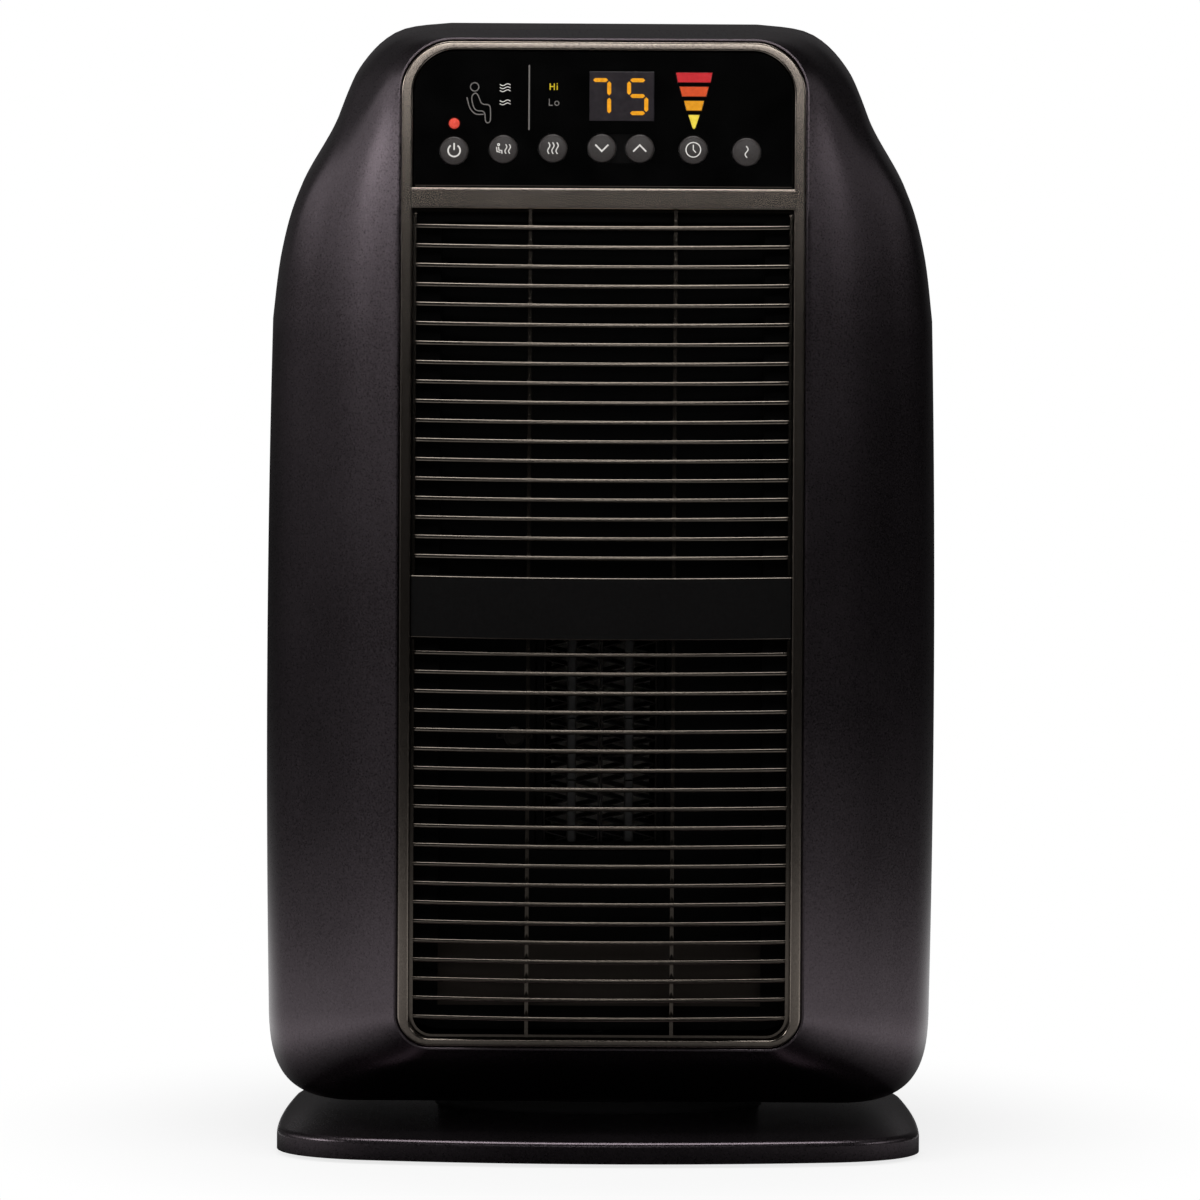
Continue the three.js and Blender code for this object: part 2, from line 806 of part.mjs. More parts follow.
function frontShell() {
  const outer = frontRings();
  const seamFront = seamY - clearance / 2;
  const pocketDepth = trimDepth + clearance;
  const pocketEdge = trimOutline(clearance);
  const flangeEdge = trimOutline(-trimSideWidth, -trimTopWidth, -trimBottomWidth);
  const inner = offsetInside(outer, shellWall).slice(1);
  inner[inner.length - 1] = levelled(inner[inner.length - 1], seamFront);
  const shell = loft([
    ...outer.slice().reverse(),
    onFace(pocketEdge, 0),
    onFace(pocketEdge, pocketDepth),
    onFace(flangeEdge, pocketDepth),
    onFace(flangeEdge, pocketDepth + flangeDepth),
    onFace(trimOutline(0), pocketDepth + flangeDepth),
    ...inner,
  ], true);
  const volume = loft(offsetInside(outer, shellWall / 2));
  const bosses = wellPlaces.map(([x, z]) => (
    rodBack(wellRadius, faceFront, seamFront, smallSides).translate(x, 0, z)
  ));
  const pilots = wellPlaces.map(([x, z]) => (
    rodBack(screwHoleRadius, seamFront - wellScrewLength, seamY, screwSides).translate(x, 0, z)
  ));
  return carved(joined(shell, ...bosses.map((boss) => common(boss, volume))), ...pilots);
}

function rearShell() {
  const outer = rearRings();
  const seamBack = seamY + clearance / 2;
  const inner = offsetInside(outer, shellWall);
  inner[0] = levelled(inner[0], seamBack);
  inner[inner.length - 1] = levelled(inner[inner.length - 1], bodyInsideBack);
  const shell = loft([...inner.slice().reverse(), ...outer]);
  const volume = loft(offsetInside(outer, shellWall / 2));
  const wells = wellPlaces.map(([x, z]) => (
    rodBack(wellRadius, seamBack, bodyInsideBack + shellWall / 2, smallSides).translate(x, 0, z)
  ));
  const postFront = powerBoardY + boardThickness + clearance;
  const posts = powerBoardPosts().map(([x, z]) => (
    rodBack(boardPostRadius, postFront, bodyInsideBack + shellWall / 2, smallSides).translate(x, 0, z)
  ));
  const floorBosses = baseScrewPlaces.map(([x, y]) => (
    rod(baseBossRadius, bodyBottom, bodyInsideBottom + baseBossHeight, smallSides).translate(x, y, 0)
  ));
  const grip = gripProfile(gripWall);
  const gripBlock = sideways(grip, -gripHalfWidth - gripWall, gripHalfWidth + gripWall);
  const additions = [...wells, ...posts, ...floorBosses, gripBlock].map((piece) => common(piece, volume));
  const wellBores = wellPlaces.map(([x, z]) => (
    rodBack(wellBore, wellFloorY, bodyBack + overrun, smallSides).translate(x, 0, z)
  ));
  const wellHoles = wellPlaces.map(([x, z]) => (
    rodBack(screwHoleRadius, seamY - overrun, wellFloorY + overrun, screwSides).translate(x, 0, z)
  ));
  const floorHoles = baseScrewPlaces.map(([x, y]) => (
    rod(screwHoleRadius, bodyBottom - overrun, bodyInsideBottom + baseBossHeight - shellWall, screwSides)
      .translate(x, y, 0)
  ));
  const plungerHole = rod(plungerHoleRadius, bodyBottom - overrun, bodyInsideBottom + clearance, smallSides)
    .translate(0, neckY, 0);
  const glandHole = rodBack(glandRadius + clearance, bodyInsideBack - overrun, bodyBack + overrun, roundSides)
    .translate(glandPlace.x, 0, glandPlace.z);
  const intake = block(
    [-intakeHalfWidth, intakeHalfWidth],
    [bodyInsideBack - overrun, bodyBack + overrun],
    [intakeBottom, intakeTop],
  );
  const gripCavity = sideways(gripProfile(0), -gripHalfWidth, gripHalfWidth);
  return carved(
    joined(shell, ...additions),
    ...wellBores,
    ...wellHoles,
    ...floorHoles,
    plungerHole,
    glandHole,
    intake,
    gripCavity,
  );
}

// Side view of the carry grip: a pocket whose roof rises behind the lip, for the fingertips
function gripProfile(wall) {
  const mouth = bodyBack + overrun;
  const floor = bodyBack - gripDepth - wall;
  const lipInside = bodyBack - gripHook;
  return shapeOf([
    [mouth, gripBottom - wall],
    [mouth, gripTop + wall],
    [lipInside, gripTop + wall],
    [lipInside - gripHook / 2, gripTop + gripHook + wall],
    [floor, gripTop + gripHook / 2 + wall],
    [floor, gripBottom - wall],
  ]);
}

function intakeGrille() {
  const innerHalf = intakeHalfWidth - clearance;
  const flangeBack = bodyInsideBack - clearance;
  const flangeFront = flangeBack - intakeFlangeDepth;
  const plateBack = flangeFront + intakeDepth;
  const plate = block(
    [-innerHalf, innerHalf],
    [flangeFront, plateBack],
    [intakeBottom + clearance, intakeTop - clearance],
  );
  const flange = block(
    [-intakeHalfWidth - intakeFlange, intakeHalfWidth + intakeFlange],
    [flangeFront, flangeBack],
    [intakeBottom - intakeFlange, intakeTop + intakeFlange],
  );
  const columnWidth = (2 * (innerHalf - intakeMargin) - (intakeColumns - 1) * intakeRib) / intakeColumns;
  const slotSpan = intakeTop - intakeBottom - 2 * (clearance + intakeMargin) - intakeSlotHeight;
  const rowPitch = slotSpan / (intakeRows - 1);
  const slots = [];
  for (let column = 0; column < intakeColumns; column += 1) {
    const left = -innerHalf + intakeMargin + column * (columnWidth + intakeRib);
    for (let row = 0; row < intakeRows; row += 1) {
      const bottom = intakeBottom + clearance + intakeMargin + row * rowPitch;
      slots.push(block(
        [left, left + columnWidth],
        [flangeFront - overrun, plateBack + overrun],
        [bottom, bottom + intakeSlotHeight],
      ));
    }
  }
  return carved(joined(plate, flange), ...slots);
}

function windowRectangle(halfWidth, top, bottom) {
  return shapeOf([[-halfWidth, bottom], [halfWidth, bottom], [halfWidth, top], [-halfWidth, top]]);
}

function rectanglePath(left, right, bottom, top) {
  return new THREE.Path(shapeOf([[left, bottom], [left, top], [right, top], [right, bottom]]).getPoints());
}

function cordGland() {
  const front = bodyInsideBack - shellWall;
  const barbFront = bodyInsideBack - clearance - glandBarb;
  return turnedBack([
    [glandBore, front],
    [glandRadius, front],
    [glandRadius + glandBarb, barbFront],
    [glandRadius + glandBarb, bodyInsideBack - clearance],
    [glandRadius, bodyInsideBack - clearance],
    [glandRadius, bodyBack + clearance],
    [glandRadius + glandFlange, bodyBack + clearance],
    [glandRadius + glandFlange / 2, bodyBack + clearance + glandFlangeDepth],
    [glandBore, bodyBack + clearance + glandFlangeDepth],
    [glandBore, front],
  ], roundSides).translate(glandPlace.x, 0, glandPlace.z);
}

// Trim, grille and band

function trimFrame() {
  const opening = (margin) => windowOutline({
    halfWidth: windowHalfWidth + margin,
    top: lensWindowTop + margin,
    bottom: grilleWindowBottom - margin,
    topRadius: trimTopRadius - trimTopWidth + margin,
    bottomRadius: trimBottomRadius - trimSideWidth + margin,
    waist: shoulderFoot,
  }, outlineSteps);
  const frame = loft([
    onFace(trimOutline(0), trimDepth),
    onFace(trimOutline(0), trimChamfer),
    onFace(trimOutline(-trimChamfer), 0),
    onFace(opening(trimChamfer), 0),
    onFace(opening(0), trimChamfer),
    onFace(opening(0), trimDepth),
  ], true);
  const reach = windowHalfWidth + trimSideWidth / 2;
  const ends = [-reach, reach].map((x) => [
    [crossbarBottom, trimDepth],
    [crossbarBottom, trimChamfer],
    [crossbarBottom + trimChamfer, clearance / 2],
    [crossbarTop - trimChamfer, clearance / 2],
    [crossbarTop, trimChamfer],
    [crossbarTop, trimDepth],
  ].map(([height, setBack]) => new THREE.Vector3(x, faceAt(height) + setBack, height)));
  return joined(frame, loft(ends));
}

function bowAt(x) {
  return grilleBow * (1 - (x / slatHalfWidth) ** 2);
}

function bowedBar(section, height, halfWidth, setBack, steps) {
  const rings = [];
  for (let i = 0; i <= steps; i += 1) {
    const x = mix(-halfWidth, halfWidth, i / steps);
    const inset = setBack - bowAt(Math.min(Math.abs(x), slatHalfWidth));
    rings.push(section.map(([back, up]) => (
      new THREE.Vector3(x, faceAt(height + up) + inset + back, height + up)
    )));
  }
  return loft(rings);
}

function slat(height) {
  const section = [
    [0, slatFrontHeight / 2],
    [slatDepth, 0],
    [0, -slatFrontHeight / 2],
  ];
  return bowedBar(section, height, slatHalfWidth, slatSetBack, slatSteps);
}

// An upright bar that follows the lean of the front face
function faceBar(left, right, heights, setBack, depth) {
  const rings = [];
  for (let i = 0; i <= barSteps; i += 1) {
    const height = mix(heights[0], heights[1], i / barSteps);
    const front = faceAt(height) + setBack;
    rings.push([
      new THREE.Vector3(left, front, height),
      new THREE.Vector3(right, front, height),
      new THREE.Vector3(right, front + depth, height),
      new THREE.Vector3(left, front + depth, height),
    ]);
  }
  return loft(rings);
}

function slatHeights(from, to) {
  const heights = [];
  for (let place = from; place <= to; place += 1) {
    heights.push(firstSlatHeight + place * slatPitch);
  }
  return heights;
}

function grille(size, heights, rim) {
  const { top, bottom, bottomRadius } = size;
  const waist = (top + bottom) / 2;
  const radius = bottomRadius + borderOverlap + rimGap + rimWall;
  const border = windowOutline({
    halfWidth: borderHalfWidth,
    top: top + borderDepth,
    bottom: bottom - borderDepth,
    topRadius: innerCornerRadius,
    bottomRadius: Math.max(radius, innerCornerRadius),
    waist,
  }, grilleWindowSteps);
  const opening = windowOutline({
    halfWidth: rimHalfWidth - rimWall,
    top: top - borderDepth,
    bottom: bottom + rimWall,
    topRadius: innerCornerRadius,
    bottomRadius,
    waist,
  }, grilleWindowSteps);
  const plate = bentFrame(border, opening, borderSetBack, borderDepth);
  const ribSetBack = slatSetBack + slatDepth + clearance - bowAt(ribPlace + ribWidth / 2);
  const ribDepth = borderSetBack + borderDepth - ribSetBack;
  const ribs = [-ribPlace, ribPlace].map((x) => (
    faceBar(x - ribWidth / 2, x + ribWidth / 2, [bottom + rimWall / 2, top], ribSetBack, ribDepth)
  ));
  return joined(plate, ...rim, ...heights.map(slat), ...ribs);
}

function rimLoop(top, bottom, bottomRadius) {
  const outer = {
    halfWidth: rimHalfWidth,
    top,
    bottom,
    topRadius: innerCornerRadius,
    bottomRadius: bottomRadius + rimWall,
    waist: (top + bottom) / 2,
  };
  const inner = {
    ...outer,
    halfWidth: rimHalfWidth - rimWall,
    top: top - rimWall,
    bottom: bottom + rimWall,
    bottomRadius,
  };
  const depth = borderSetBack + borderDepth - rimSetBack;
  const outerOutline = windowOutline(outer, grilleWindowSteps);
  return bentFrame(outerOutline, windowOutline(inner, grilleWindowSteps), rimSetBack, depth);
}

function lowerGrille() {
  const bottom = grilleWindowBottom + rimGap;
  const bottomRadius = trimBottomRadius - trimSideWidth - rimGap;
  const top = (bandBottom + bandTop) / 2 - clearance / 2 - borderDepth;
  const loop = rimLoop(bandTop, bottom, bottomRadius);
  const aboveBand = block(
    [-borderHalfWidth, borderHalfWidth],
    [faceFront - overrun, faceFront + borderSetBack * overrun],
    [bandBottom - clearance, bandTop + overrun],
  );
  const rim = carved(loop, aboveBand);
  return grille({ top, bottom, bottomRadius }, slatHeights(0, bandFirstPlace - 1), [rim]);
}

function upperGrille() {
  const bottom = (bandBottom + bandTop) / 2 + clearance / 2 + borderDepth;
  const rimTop = crossbarBottom - rimTopGap;
  const depth = borderSetBack + borderDepth - rimSetBack;
  const sides = [-rimHalfWidth, rimHalfWidth - rimWall].map((left) => (
    faceBar(left, left + rimWall, [bandTop + clearance, rimTop], rimSetBack, depth)
  ));
  const heights = slatHeights(bandLastPlace + 1, slatPlaces - 1);
  return grille({ top: crossbarBottom, bottom, bottomRadius: innerCornerRadius }, heights, sides);
}

function centreBand() {
  const halfHeight = (bandTop - bandBottom) / 2;
  const ledge = borderSetBack - bandSetBack - clearance;
  const section = [
    [0, -halfHeight],
    [0, halfHeight],
    [ledge, halfHeight],
    [ledge, halfHeight - bandWall],
    [bandWall, halfHeight - bandWall],
    [bandWall, bandWall - halfHeight],
    [ledge, bandWall - halfHeight],
    [ledge, -halfHeight],
  ];
  return bowedBar(section, (bandTop + bandBottom) / 2, windowHalfWidth - clearance, bandSetBack, bandSteps);
}

// Control panel, in its own leaning frame: X across, Z up the panel, Y into the heater

function buttonHeightAt(x) {
  return buttonRowHeight - x ** 2 / (2 * buttonRowRadius);
}

function controlLens() {
  const shape = new THREE.Shape(windowOutline({
    halfWidth: windowHalfWidth - clearance,
    top: panelHalfHeight - clearance,
    bottom: clearance + lensBack * Math.sin(panelTilt) - panelHalfHeight,
    topRadius: trimTopRadius - trimTopWidth - clearance,
    bottomRadius: innerCornerRadius,
    waist: 0,
  }, lensWindowSteps));
  const plate = frontal(shape, lensSetBack, lensBack);
  const postEnd = controlBoardFront - clearance;
  const posts = lensPostPlaces.map(([x, up]) => (
    rodBack(lensPostRadius, lensBack - lensDepth / 2, postEnd, screwSides).translate(x, 0, up)
  ));
  const holes = Object.values(buttonPlaces).map((x) => (
    rodBack(buttonRadius + buttonHoleGap, lensSetBack - overrun, lensBack + overrun, roundSides)
      .translate(x, 0, buttonHeightAt(x))
  ));
  const lampHole = rodBack(lampRadius + clearance, lensSetBack - overrun, lensBack + overrun, smallSides)
    .translate(lampPlace.x, 0, lampPlace.up);
  const windows = [displayWindow, ...timerBars].map(({ left, right, bottom, top }) => block(
    [left - clearance, right + clearance],
    [lensSetBack - overrun, lensBack + overrun],
    [bottom - clearance, top + clearance],
  ));
  const wedge = frontal(triangleShape(clearance), lensSetBack - overrun, lensBack + overrun);
  return carved(joined(plate, ...posts), ...holes, lampHole, ...windows, wedge, pairRecess());
}

// The shallow racetrack that the two temperature buttons share
function pairRecess() {
  const down = buttonPlaces.temperature_down_button;
  const up = buttonPlaces.temperature_up_button;
  const middle = buttonHeightAt((down + up) / 2);
  const radius = buttonRadius + buttonHoleGap;
  const track = new THREE.Shape();
  track.absarc(up, middle, radius, -quarterTurn, quarterTurn);
  track.absarc(down, middle, radius, quarterTurn, quarterTurn + halfTurn);
  return frontal(track, lensSetBack - overrun, lensSetBack + pairRecessDepth, smallSides);
}

function triangleShape(margin) {
  const { left, right, bottom, top } = timerTriangle;
  const slant = margin * Math.SQRT2;
  return shapeOf([
    [left - slant, top + margin],
    [(left + right) / 2, bottom - 2 * slant],
    [right + slant, top + margin],
  ]);
}

function buttonCap() {
  const capBack = buttonFront + buttonCapDepth;
  const flangeBack = capBack + buttonFlangeDepth;
  const rise = buttonProud / 2;
  return turnedBack([
    [0, buttonFront],
    [buttonRadius - 2 * rise, buttonFront + rise / 2],
    [buttonRadius, buttonFront + 2 * rise],
    [buttonRadius, capBack],
    [buttonRadius + buttonFlangeWidth, capBack],
    [buttonRadius + buttonFlangeWidth, flangeBack],
    [buttonStemRadius, flangeBack],
    [buttonStemRadius, stemEnd],
    [0, stemEnd],
  ], roundSides);
}

function powerLamp() {
  const flangeFront = lensBack + clearance;
  return turnedBack([
    [0, lensSetBack - lampDome],
    [lampRadius / 2, lensSetBack - lampDome / 2],
    [lampRadius, lensSetBack + lampDome / 2],
    [lampRadius, flangeFront],
    [lampRadius + windowFlangeWidth, flangeFront],
    [lampRadius + windowFlangeWidth, flangeFront + windowFlangeDepth],
    [lampRadius, flangeFront + windowFlangeDepth],
    [lampRadius, controlBoardFront - clearance],
    [0, controlBoardFront - clearance],
  ], smallSides);
}

function displayFilter() {
  const { left, right, bottom, top } = displayWindow;
  const flangeFront = lensBack + clearance;
  return joined(
    block([left, right], [lensSetBack, flangeFront + windowFlangeDepth / 2], [bottom, top]),
    block(
      [left - windowFlangeWidth, right + windowFlangeWidth],
      [flangeFront, flangeFront + windowFlangeDepth],
      [bottom - windowFlangeWidth, top + windowFlangeWidth],
    ),
  );
}

// The two-figure display block behind its window
function displayModule() {
  const { left, right, bottom, top } = displayWindow;
  const back = controlBoardFront - clearance;
  const front = lensBack + clearance + windowFlangeDepth + clearance;
  return block([left, right], [front, Math.max(back, front + displayBlockDepth / 2)], [bottom, top]);
}

function timerLightGuide() {
  const plateFront = lensBack + clearance;
  const last = timerBars[0];
  const plate = block(
    [last.left - guideMargin, last.right + guideMargin],
    [plateFront, plateFront + guidePlateDepth],
    [timerTriangle.bottom - guideMargin / 2, last.top + guideMargin],
  );
  const bars = timerBars.map(({ left, right, bottom, top }) => (
    block([left, right], [lensSetBack, plateFront + guidePlateDepth / 2], [bottom, top])
  ));
  const pointer = frontal(triangleShape(0), lensSetBack, plateFront + guidePlateDepth / 2);
  const legs = [last.left, last.right].map((x) => (
    block(
      [x - guidePlateDepth / 2, x + guidePlateDepth / 2],
      [plateFront + guidePlateDepth / 2, controlBoardFront - clearance],
      [last.bottom, last.top],
    )
  ));
  return joined(plate, ...bars, pointer, ...legs);
}

function controlBoard() {
  const board = block(
    [-controlBoardHalfWidth, controlBoardHalfWidth],
    [controlBoardFront, controlBoardFront + boardThickness],
    [-controlBoardDrop, controlBoardRise],
  );
  const switches = Object.values(buttonPlaces).map((x) => {
    const up = buttonHeightAt(x);
    const half = switchSize / 2;
    const depths = [switchFront, controlBoardFront + boardThickness / 2];
    return block([x - half, x + half], depths, [up - half, up + half]);
  });
  return joined(board, ...switches);
}

// Base, feet and screws

function baseOutline(inset) {
  const halfWidth = baseHalfWidth - inset;
  const halfDepth = baseDepth / 2 - inset;
  const cornerX = baseCornerStart - inset;
  const cornerY = cornerX ** 2 / (2 * baseFrontRadius) - halfDepth;
  const slope = cornerX / baseFrontRadius;
  const cornerReach = (halfWidth - cornerX) * baseCornerShare;
  const waist = new THREE.Vector2(halfWidth - baseWaist, baseWaistY);
  const front = new THREE.QuadraticBezierCurve(
    new THREE.Vector2(0, -halfDepth),
    new THREE.Vector2(cornerX / 2, -halfDepth),
    new THREE.Vector2(cornerX, cornerY),
  );
  const frontCorner = new THREE.CubicBezierCurve(
    new THREE.Vector2(cornerX, cornerY),
    new THREE.Vector2(cornerX + cornerReach, cornerY + cornerReach * slope),
    new THREE.Vector2(halfWidth, mix(baseWidestY, cornerY, baseCornerShare)),
    new THREE.Vector2(halfWidth, baseWidestY),
  );
  const side = new THREE.QuadraticBezierCurve(
    new THREE.Vector2(halfWidth, baseWidestY),
    new THREE.Vector2(halfWidth, mix(baseWidestY, baseWaistY, baseSideShare)),
    waist,
  );
  const backCorner = new THREE.CubicBezierCurve(
    waist,
    new THREE.Vector2(waist.x - baseWaist, mix(baseWaistY, halfDepth, baseCornerShare)),
    new THREE.Vector2(mix(baseBackCorner, waist.x, baseCornerShare), halfDepth),
    new THREE.Vector2(baseBackCorner, halfDepth),
  );
  return mirrored(traced([
    [front, baseSteps.front],
    [frontCorner, baseSteps.frontCorner],
    [side, baseSteps.side],
    [backCorner, baseSteps.backCorner],
    [line(baseBackCorner, halfDepth, 0, halfDepth), baseSteps.back],
  ]));
}

function baseRing(inset, height) {
  return baseOutline(inset).map((point) => new THREE.Vector3(point.x, point.y, height));
}

function ovalShape(halfWidth, halfDepth, y) {
  return new THREE.Shape().absellipse(0, y, halfWidth, halfDepth, 0, fullTurn, false, 0);
}

function basePlate() {
  const roof = baseTop - baseWall;
  const outer = loft([
    baseRing(0, baseBottom),
    baseRing(0, baseTop - baseFillet),
    baseRing(baseFillet / 3, baseTop - baseFillet / 3),
    baseRing(baseFillet, baseTop),
  ]);
  const hollow = loft([baseRing(baseWall, baseBottom - overrun), baseRing(baseWall, roof)]);
  const neckTop = bodyBottom - clearance;
  const oval = ovalShape(neckHalfWidth, neckHalfDepth, neckY);
  const neck = upright(oval, baseTop - baseWall / 2, neckTop, smallSides);
  const screwHoles = baseScrewPlaces.map(([x, y]) => (
    rod(screwHoleRadius, baseBottom, neckTop + overrun, screwSides).translate(x, y, 0)
  ));
  const plungerHole = rod(plungerHoleRadius, baseBottom, neckTop + overrun, smallSides)
    .translate(0, neckY, 0);
  return carved(joined(carved(outer, hollow), neck), ...screwHoles, plungerHole);
}

function baseCover() {
  const inset = baseWall + clearance;
  const plate = loft([baseRing(inset, baseBottom), baseRing(inset, baseBottom + baseCoverThickness)]);
  const below = baseBottom - overrun;
  const above = baseBottom + overrun;
  const accessHoles = baseScrewPlaces.map(([x, y]) => (
    rod(screwHeadRadius + 2 * clearance, below, above, smallSides).translate(x, y, 0)
  ));
  const plungerHole = rod(plungerFootRadius + 2 * clearance, below, above, smallSides)
    .translate(0, neckY, 0);
  const recesses = footPlaces.map(([x, y]) => (
    rod(footRadius + clearance, below, baseBottom + footRecess, roundSides).translate(x, y, 0)
  ));
  const ribTop = baseTop - baseWall - clearance;
  const ribs = [-1, 1].map((side) => block(
    [side * neckHalfWidth - baseWall / 2, side * neckHalfWidth + baseWall / 2],
    [neckY - neckHalfDepth, neckY + neckHalfDepth],
    [baseBottom + baseCoverThickness / 2, ribTop],
  ));
  return carved(joined(plate, ...ribs), ...accessHoles, plungerHole, ...recesses);
}

function rubberFoot() {
  const top = baseBottom + footRecess - clearance;
  const chamfer = baseBottom / 3;
  return turnedUp([
    [0, 0],
    [footRadius - chamfer, 0],
    [footRadius, chamfer],
    [footRadius, top],
    [0, top],
  ], roundSides);
}

// A pan-head screw that stands head down
function panScrew(length) {
  const head = screwHeadHeight;
  return turnedUp([
    [0, 0],
    [screwHeadRadius - head / 2, 0],
    [screwHeadRadius, head / 2],
    [screwHeadRadius, head],
    [screwRadius, head],
    [screwRadius, head + length - screwRadius],
    [0, head + length],
  ], screwSides);
}

// Warm air path: duct, frame and cores

function ductProfile(wall) {
  const points = [];
  const bottom = ductBottom + wall;
  const top = ductTop - wall;
  const steps = ductSteps;
  const reach = wall > 0 ? overrun : 0;
  for (let i = 0; i <= steps; i += 1) {
    const height = mix(bottom, top, i / steps);
    points.push([faceAt(height) + ductSetBack - reach, height]);
  }
  points.push([ductBackTopY - wall, top]);
  points.push([ductBackY - wall, ductSlopeStart]);
  points.push([ductBackY - wall, ductFloorBack + wall]);
  return shapeOf(points);
}

function outletDuct() {
  const box = sideways(ductProfile(0), -ductHalfWidth, ductHalfWidth);
  const air = sideways(ductProfile(ductWall), ductWall - ductHalfWidth, ductHalfWidth - ductWall);
  const flangeOutline = windowOutline({
    halfWidth: ductFlangeHalfWidth,
    top: ductTop + borderDepth,
    bottom: ductBottom - borderDepth,
    topRadius: innerCornerRadius,
    bottomRadius: trimBottomRadius,
    waist: bandBottom,
  }, grilleWindowSteps);
  const flangeHole = windowOutline({
    halfWidth: ductHalfWidth - ductWall,
    top: ductTop - ductWall,
    bottom: ductBottom + ductWall,
    topRadius: innerCornerRadius,
    bottomRadius: innerCornerRadius,
    waist: bandBottom,
  }, grilleWindowSteps);
  const flange = bentFrame(flangeOutline, flangeHole, ductSetBack, ductWall);
  const frameHalf = coreWidth + clearance + heaterFrameWall;
  const frameGap = 2 * clearance;
  const opening = block(
    [-frameHalf - frameGap, frameHalf + frameGap],
    [ductBackY - ductWall - overrun, ductBackY + overrun],
    [coreBottom - heaterFrameWall - frameGap, coreTop + heaterFrameWall + frameGap],
  );
  const standoffs = standoffHeights.flatMap((z) => [-standoffX, standoffX].map((x) => (
    rodBack(standoffRadius, ductBackY - ductWall / 2, voluteFrontY - clearance, smallSides).translate(x, 0, z)
  )));
  return carved(joined(carved(box, air), flange, ...standoffs), opening);
}

function heaterFrame() {
  const innerHalf = coreWidth + clearance;
  const outerHalf = innerHalf + heaterFrameWall;
  const shape = windowRectangle(outerHalf, coreTop + heaterFrameWall, coreBottom - heaterFrameWall);
  shape.holes.push(rectanglePath(-innerHalf, innerHalf, coreBottom - clearance, coreTop + clearance));
  return frontal(shape, heaterFrameFrontY, heaterFrameBackY);
}

// One ceramic column between two corrugated fin blocks, each closed by a thin plate
function ceramicCore() {
  const half = coreWidth / 2;
  const back = coreFrontY + coreDepth;
  const height = [coreBottom, coreTop];
  const column = block([-coreColumnWidth / 2, coreColumnWidth / 2], [coreFrontY, back], height);
  const plates = [-1, 1].map((side) => {
    const edges = [side * half, side * (half - corePlateWidth)].sort((a, b) => a - b);
    return block(edges, [coreFrontY, back], height);
  });
  const inner = coreColumnWidth / 2 - coreFinBite;
  const outer = half - corePlateWidth + coreFinBite;
  const fins = [-1, 1].map((side) => corrugation(side * inner, side * outer));
  return joined(column, ...plates, ...fins);
}

// A folded strip that climbs in a zigzag between two X positions
function corrugation(from, to) {
  const rise = (coreHeight - coreFinEnd * 2) / coreFinLegs;
  const back = coreFrontY + coreDepth;
  const inset = Math.sign(to - from) * coreFinSpread;
  const rings = [];
  for (let i = 0; i <= coreFinLegs; i += 1) {
    const x = i % 2 === 0 ? from + inset : to - inset;
    const height = coreBottom + coreFinEnd + i * rise;
    rings.push([
      new THREE.Vector3(x - coreFinSpread, coreFrontY, height),
      new THREE.Vector3(x + coreFinSpread, coreFrontY, height),
      new THREE.Vector3(x + coreFinSpread, back, height),
      new THREE.Vector3(x - coreFinSpread, back, height),
    ]);
  }
  return loft(rings);
}

function thermalCutout() {
  const front = ductBackY - ductWall - clearance - cutoutHeight;
  const back = ductBackY - ductWall - clearance;
  const can = turnedBack([
    [0, front],
    [cutoutRadius * cutoutCrownShare, front],
    [cutoutRadius, front + cutoutHeight / 4],
    [cutoutRadius, back],
    [0, back],
  ], roundSides);
  const tabs = block(
    [-cutoutTabReach, cutoutTabReach],
    [back - cutoutTabThickness - clearance, back - clearance],
    [-cutoutTabWidth / 2, cutoutTabWidth / 2],
  );
  return joined(can, tabs);
}

// Blower

function voluteOutline(wall) {
  const near = wheelRadius + volutePlay;
  const below = coreBottom - shaftZ;
  const start = Math.atan2(below, -Math.sqrt(near ** 2 - below ** 2));
  const front = wall > 0 ? voluteFrontY : voluteFrontY - overrun;
  const tongueY = shaftY + near * Math.cos(start);
  const points = [[front, coreBottom - wall], [tongueY, coreBottom - wall]];
  for (let i = 1; i <= voluteSteps; i += 1) {
    const turn = mix(start, quarterTurn, i / voluteSteps);
    const radius = near + voluteGrowth * (i / voluteSteps) + wall;
    points.push([shaftY + radius * Math.cos(turn), shaftZ + radius * Math.sin(turn)]);
  }
  const roof = shaftZ + near + voluteGrowth + wall;
  points.push([front, roof]);
  return shapeOf(points);
}

function blowerHousing() {
  const outerHalf = voluteHalfWidth + voluteWall;
  const casing = sideways(voluteOutline(voluteWall), -outerHalf, outerHalf);
  const air = sideways(voluteOutline(0), -voluteHalfWidth, voluteHalfWidth);
  const flangeShape = windowRectangle(
    voluteFlangeHalfWidth,
    coreTop - clearance,
    coreBottom + clearance,
  );
  const flange = frontal(flangeShape, voluteFrontY, voluteFrontY + voluteFlangeDepth);
  const lip = sleeveAcross(
    voluteInletRadius - voluteWall,
    voluteInletRadius + voluteWall,
    outerHalf - voluteWall / 2,
    outerHalf + voluteLipHeight,
    inletSides,
  ).translate(0, shaftY, shaftZ);
  const inlet = rodAcross(voluteInletRadius, voluteHalfWidth - overrun, outerHalf + clearance, inletSides)
    .translate(0, shaftY, shaftZ);
  const shaftHole = rodAcross(shaftHoleRadius, -outerHalf - overrun, overrun - voluteHalfWidth, smallSides)
    .translate(0, shaftY, shaftZ);
  const body = carved(joined(casing, flange), air, inlet, shaftHole);
  return joined(body, lip);
}

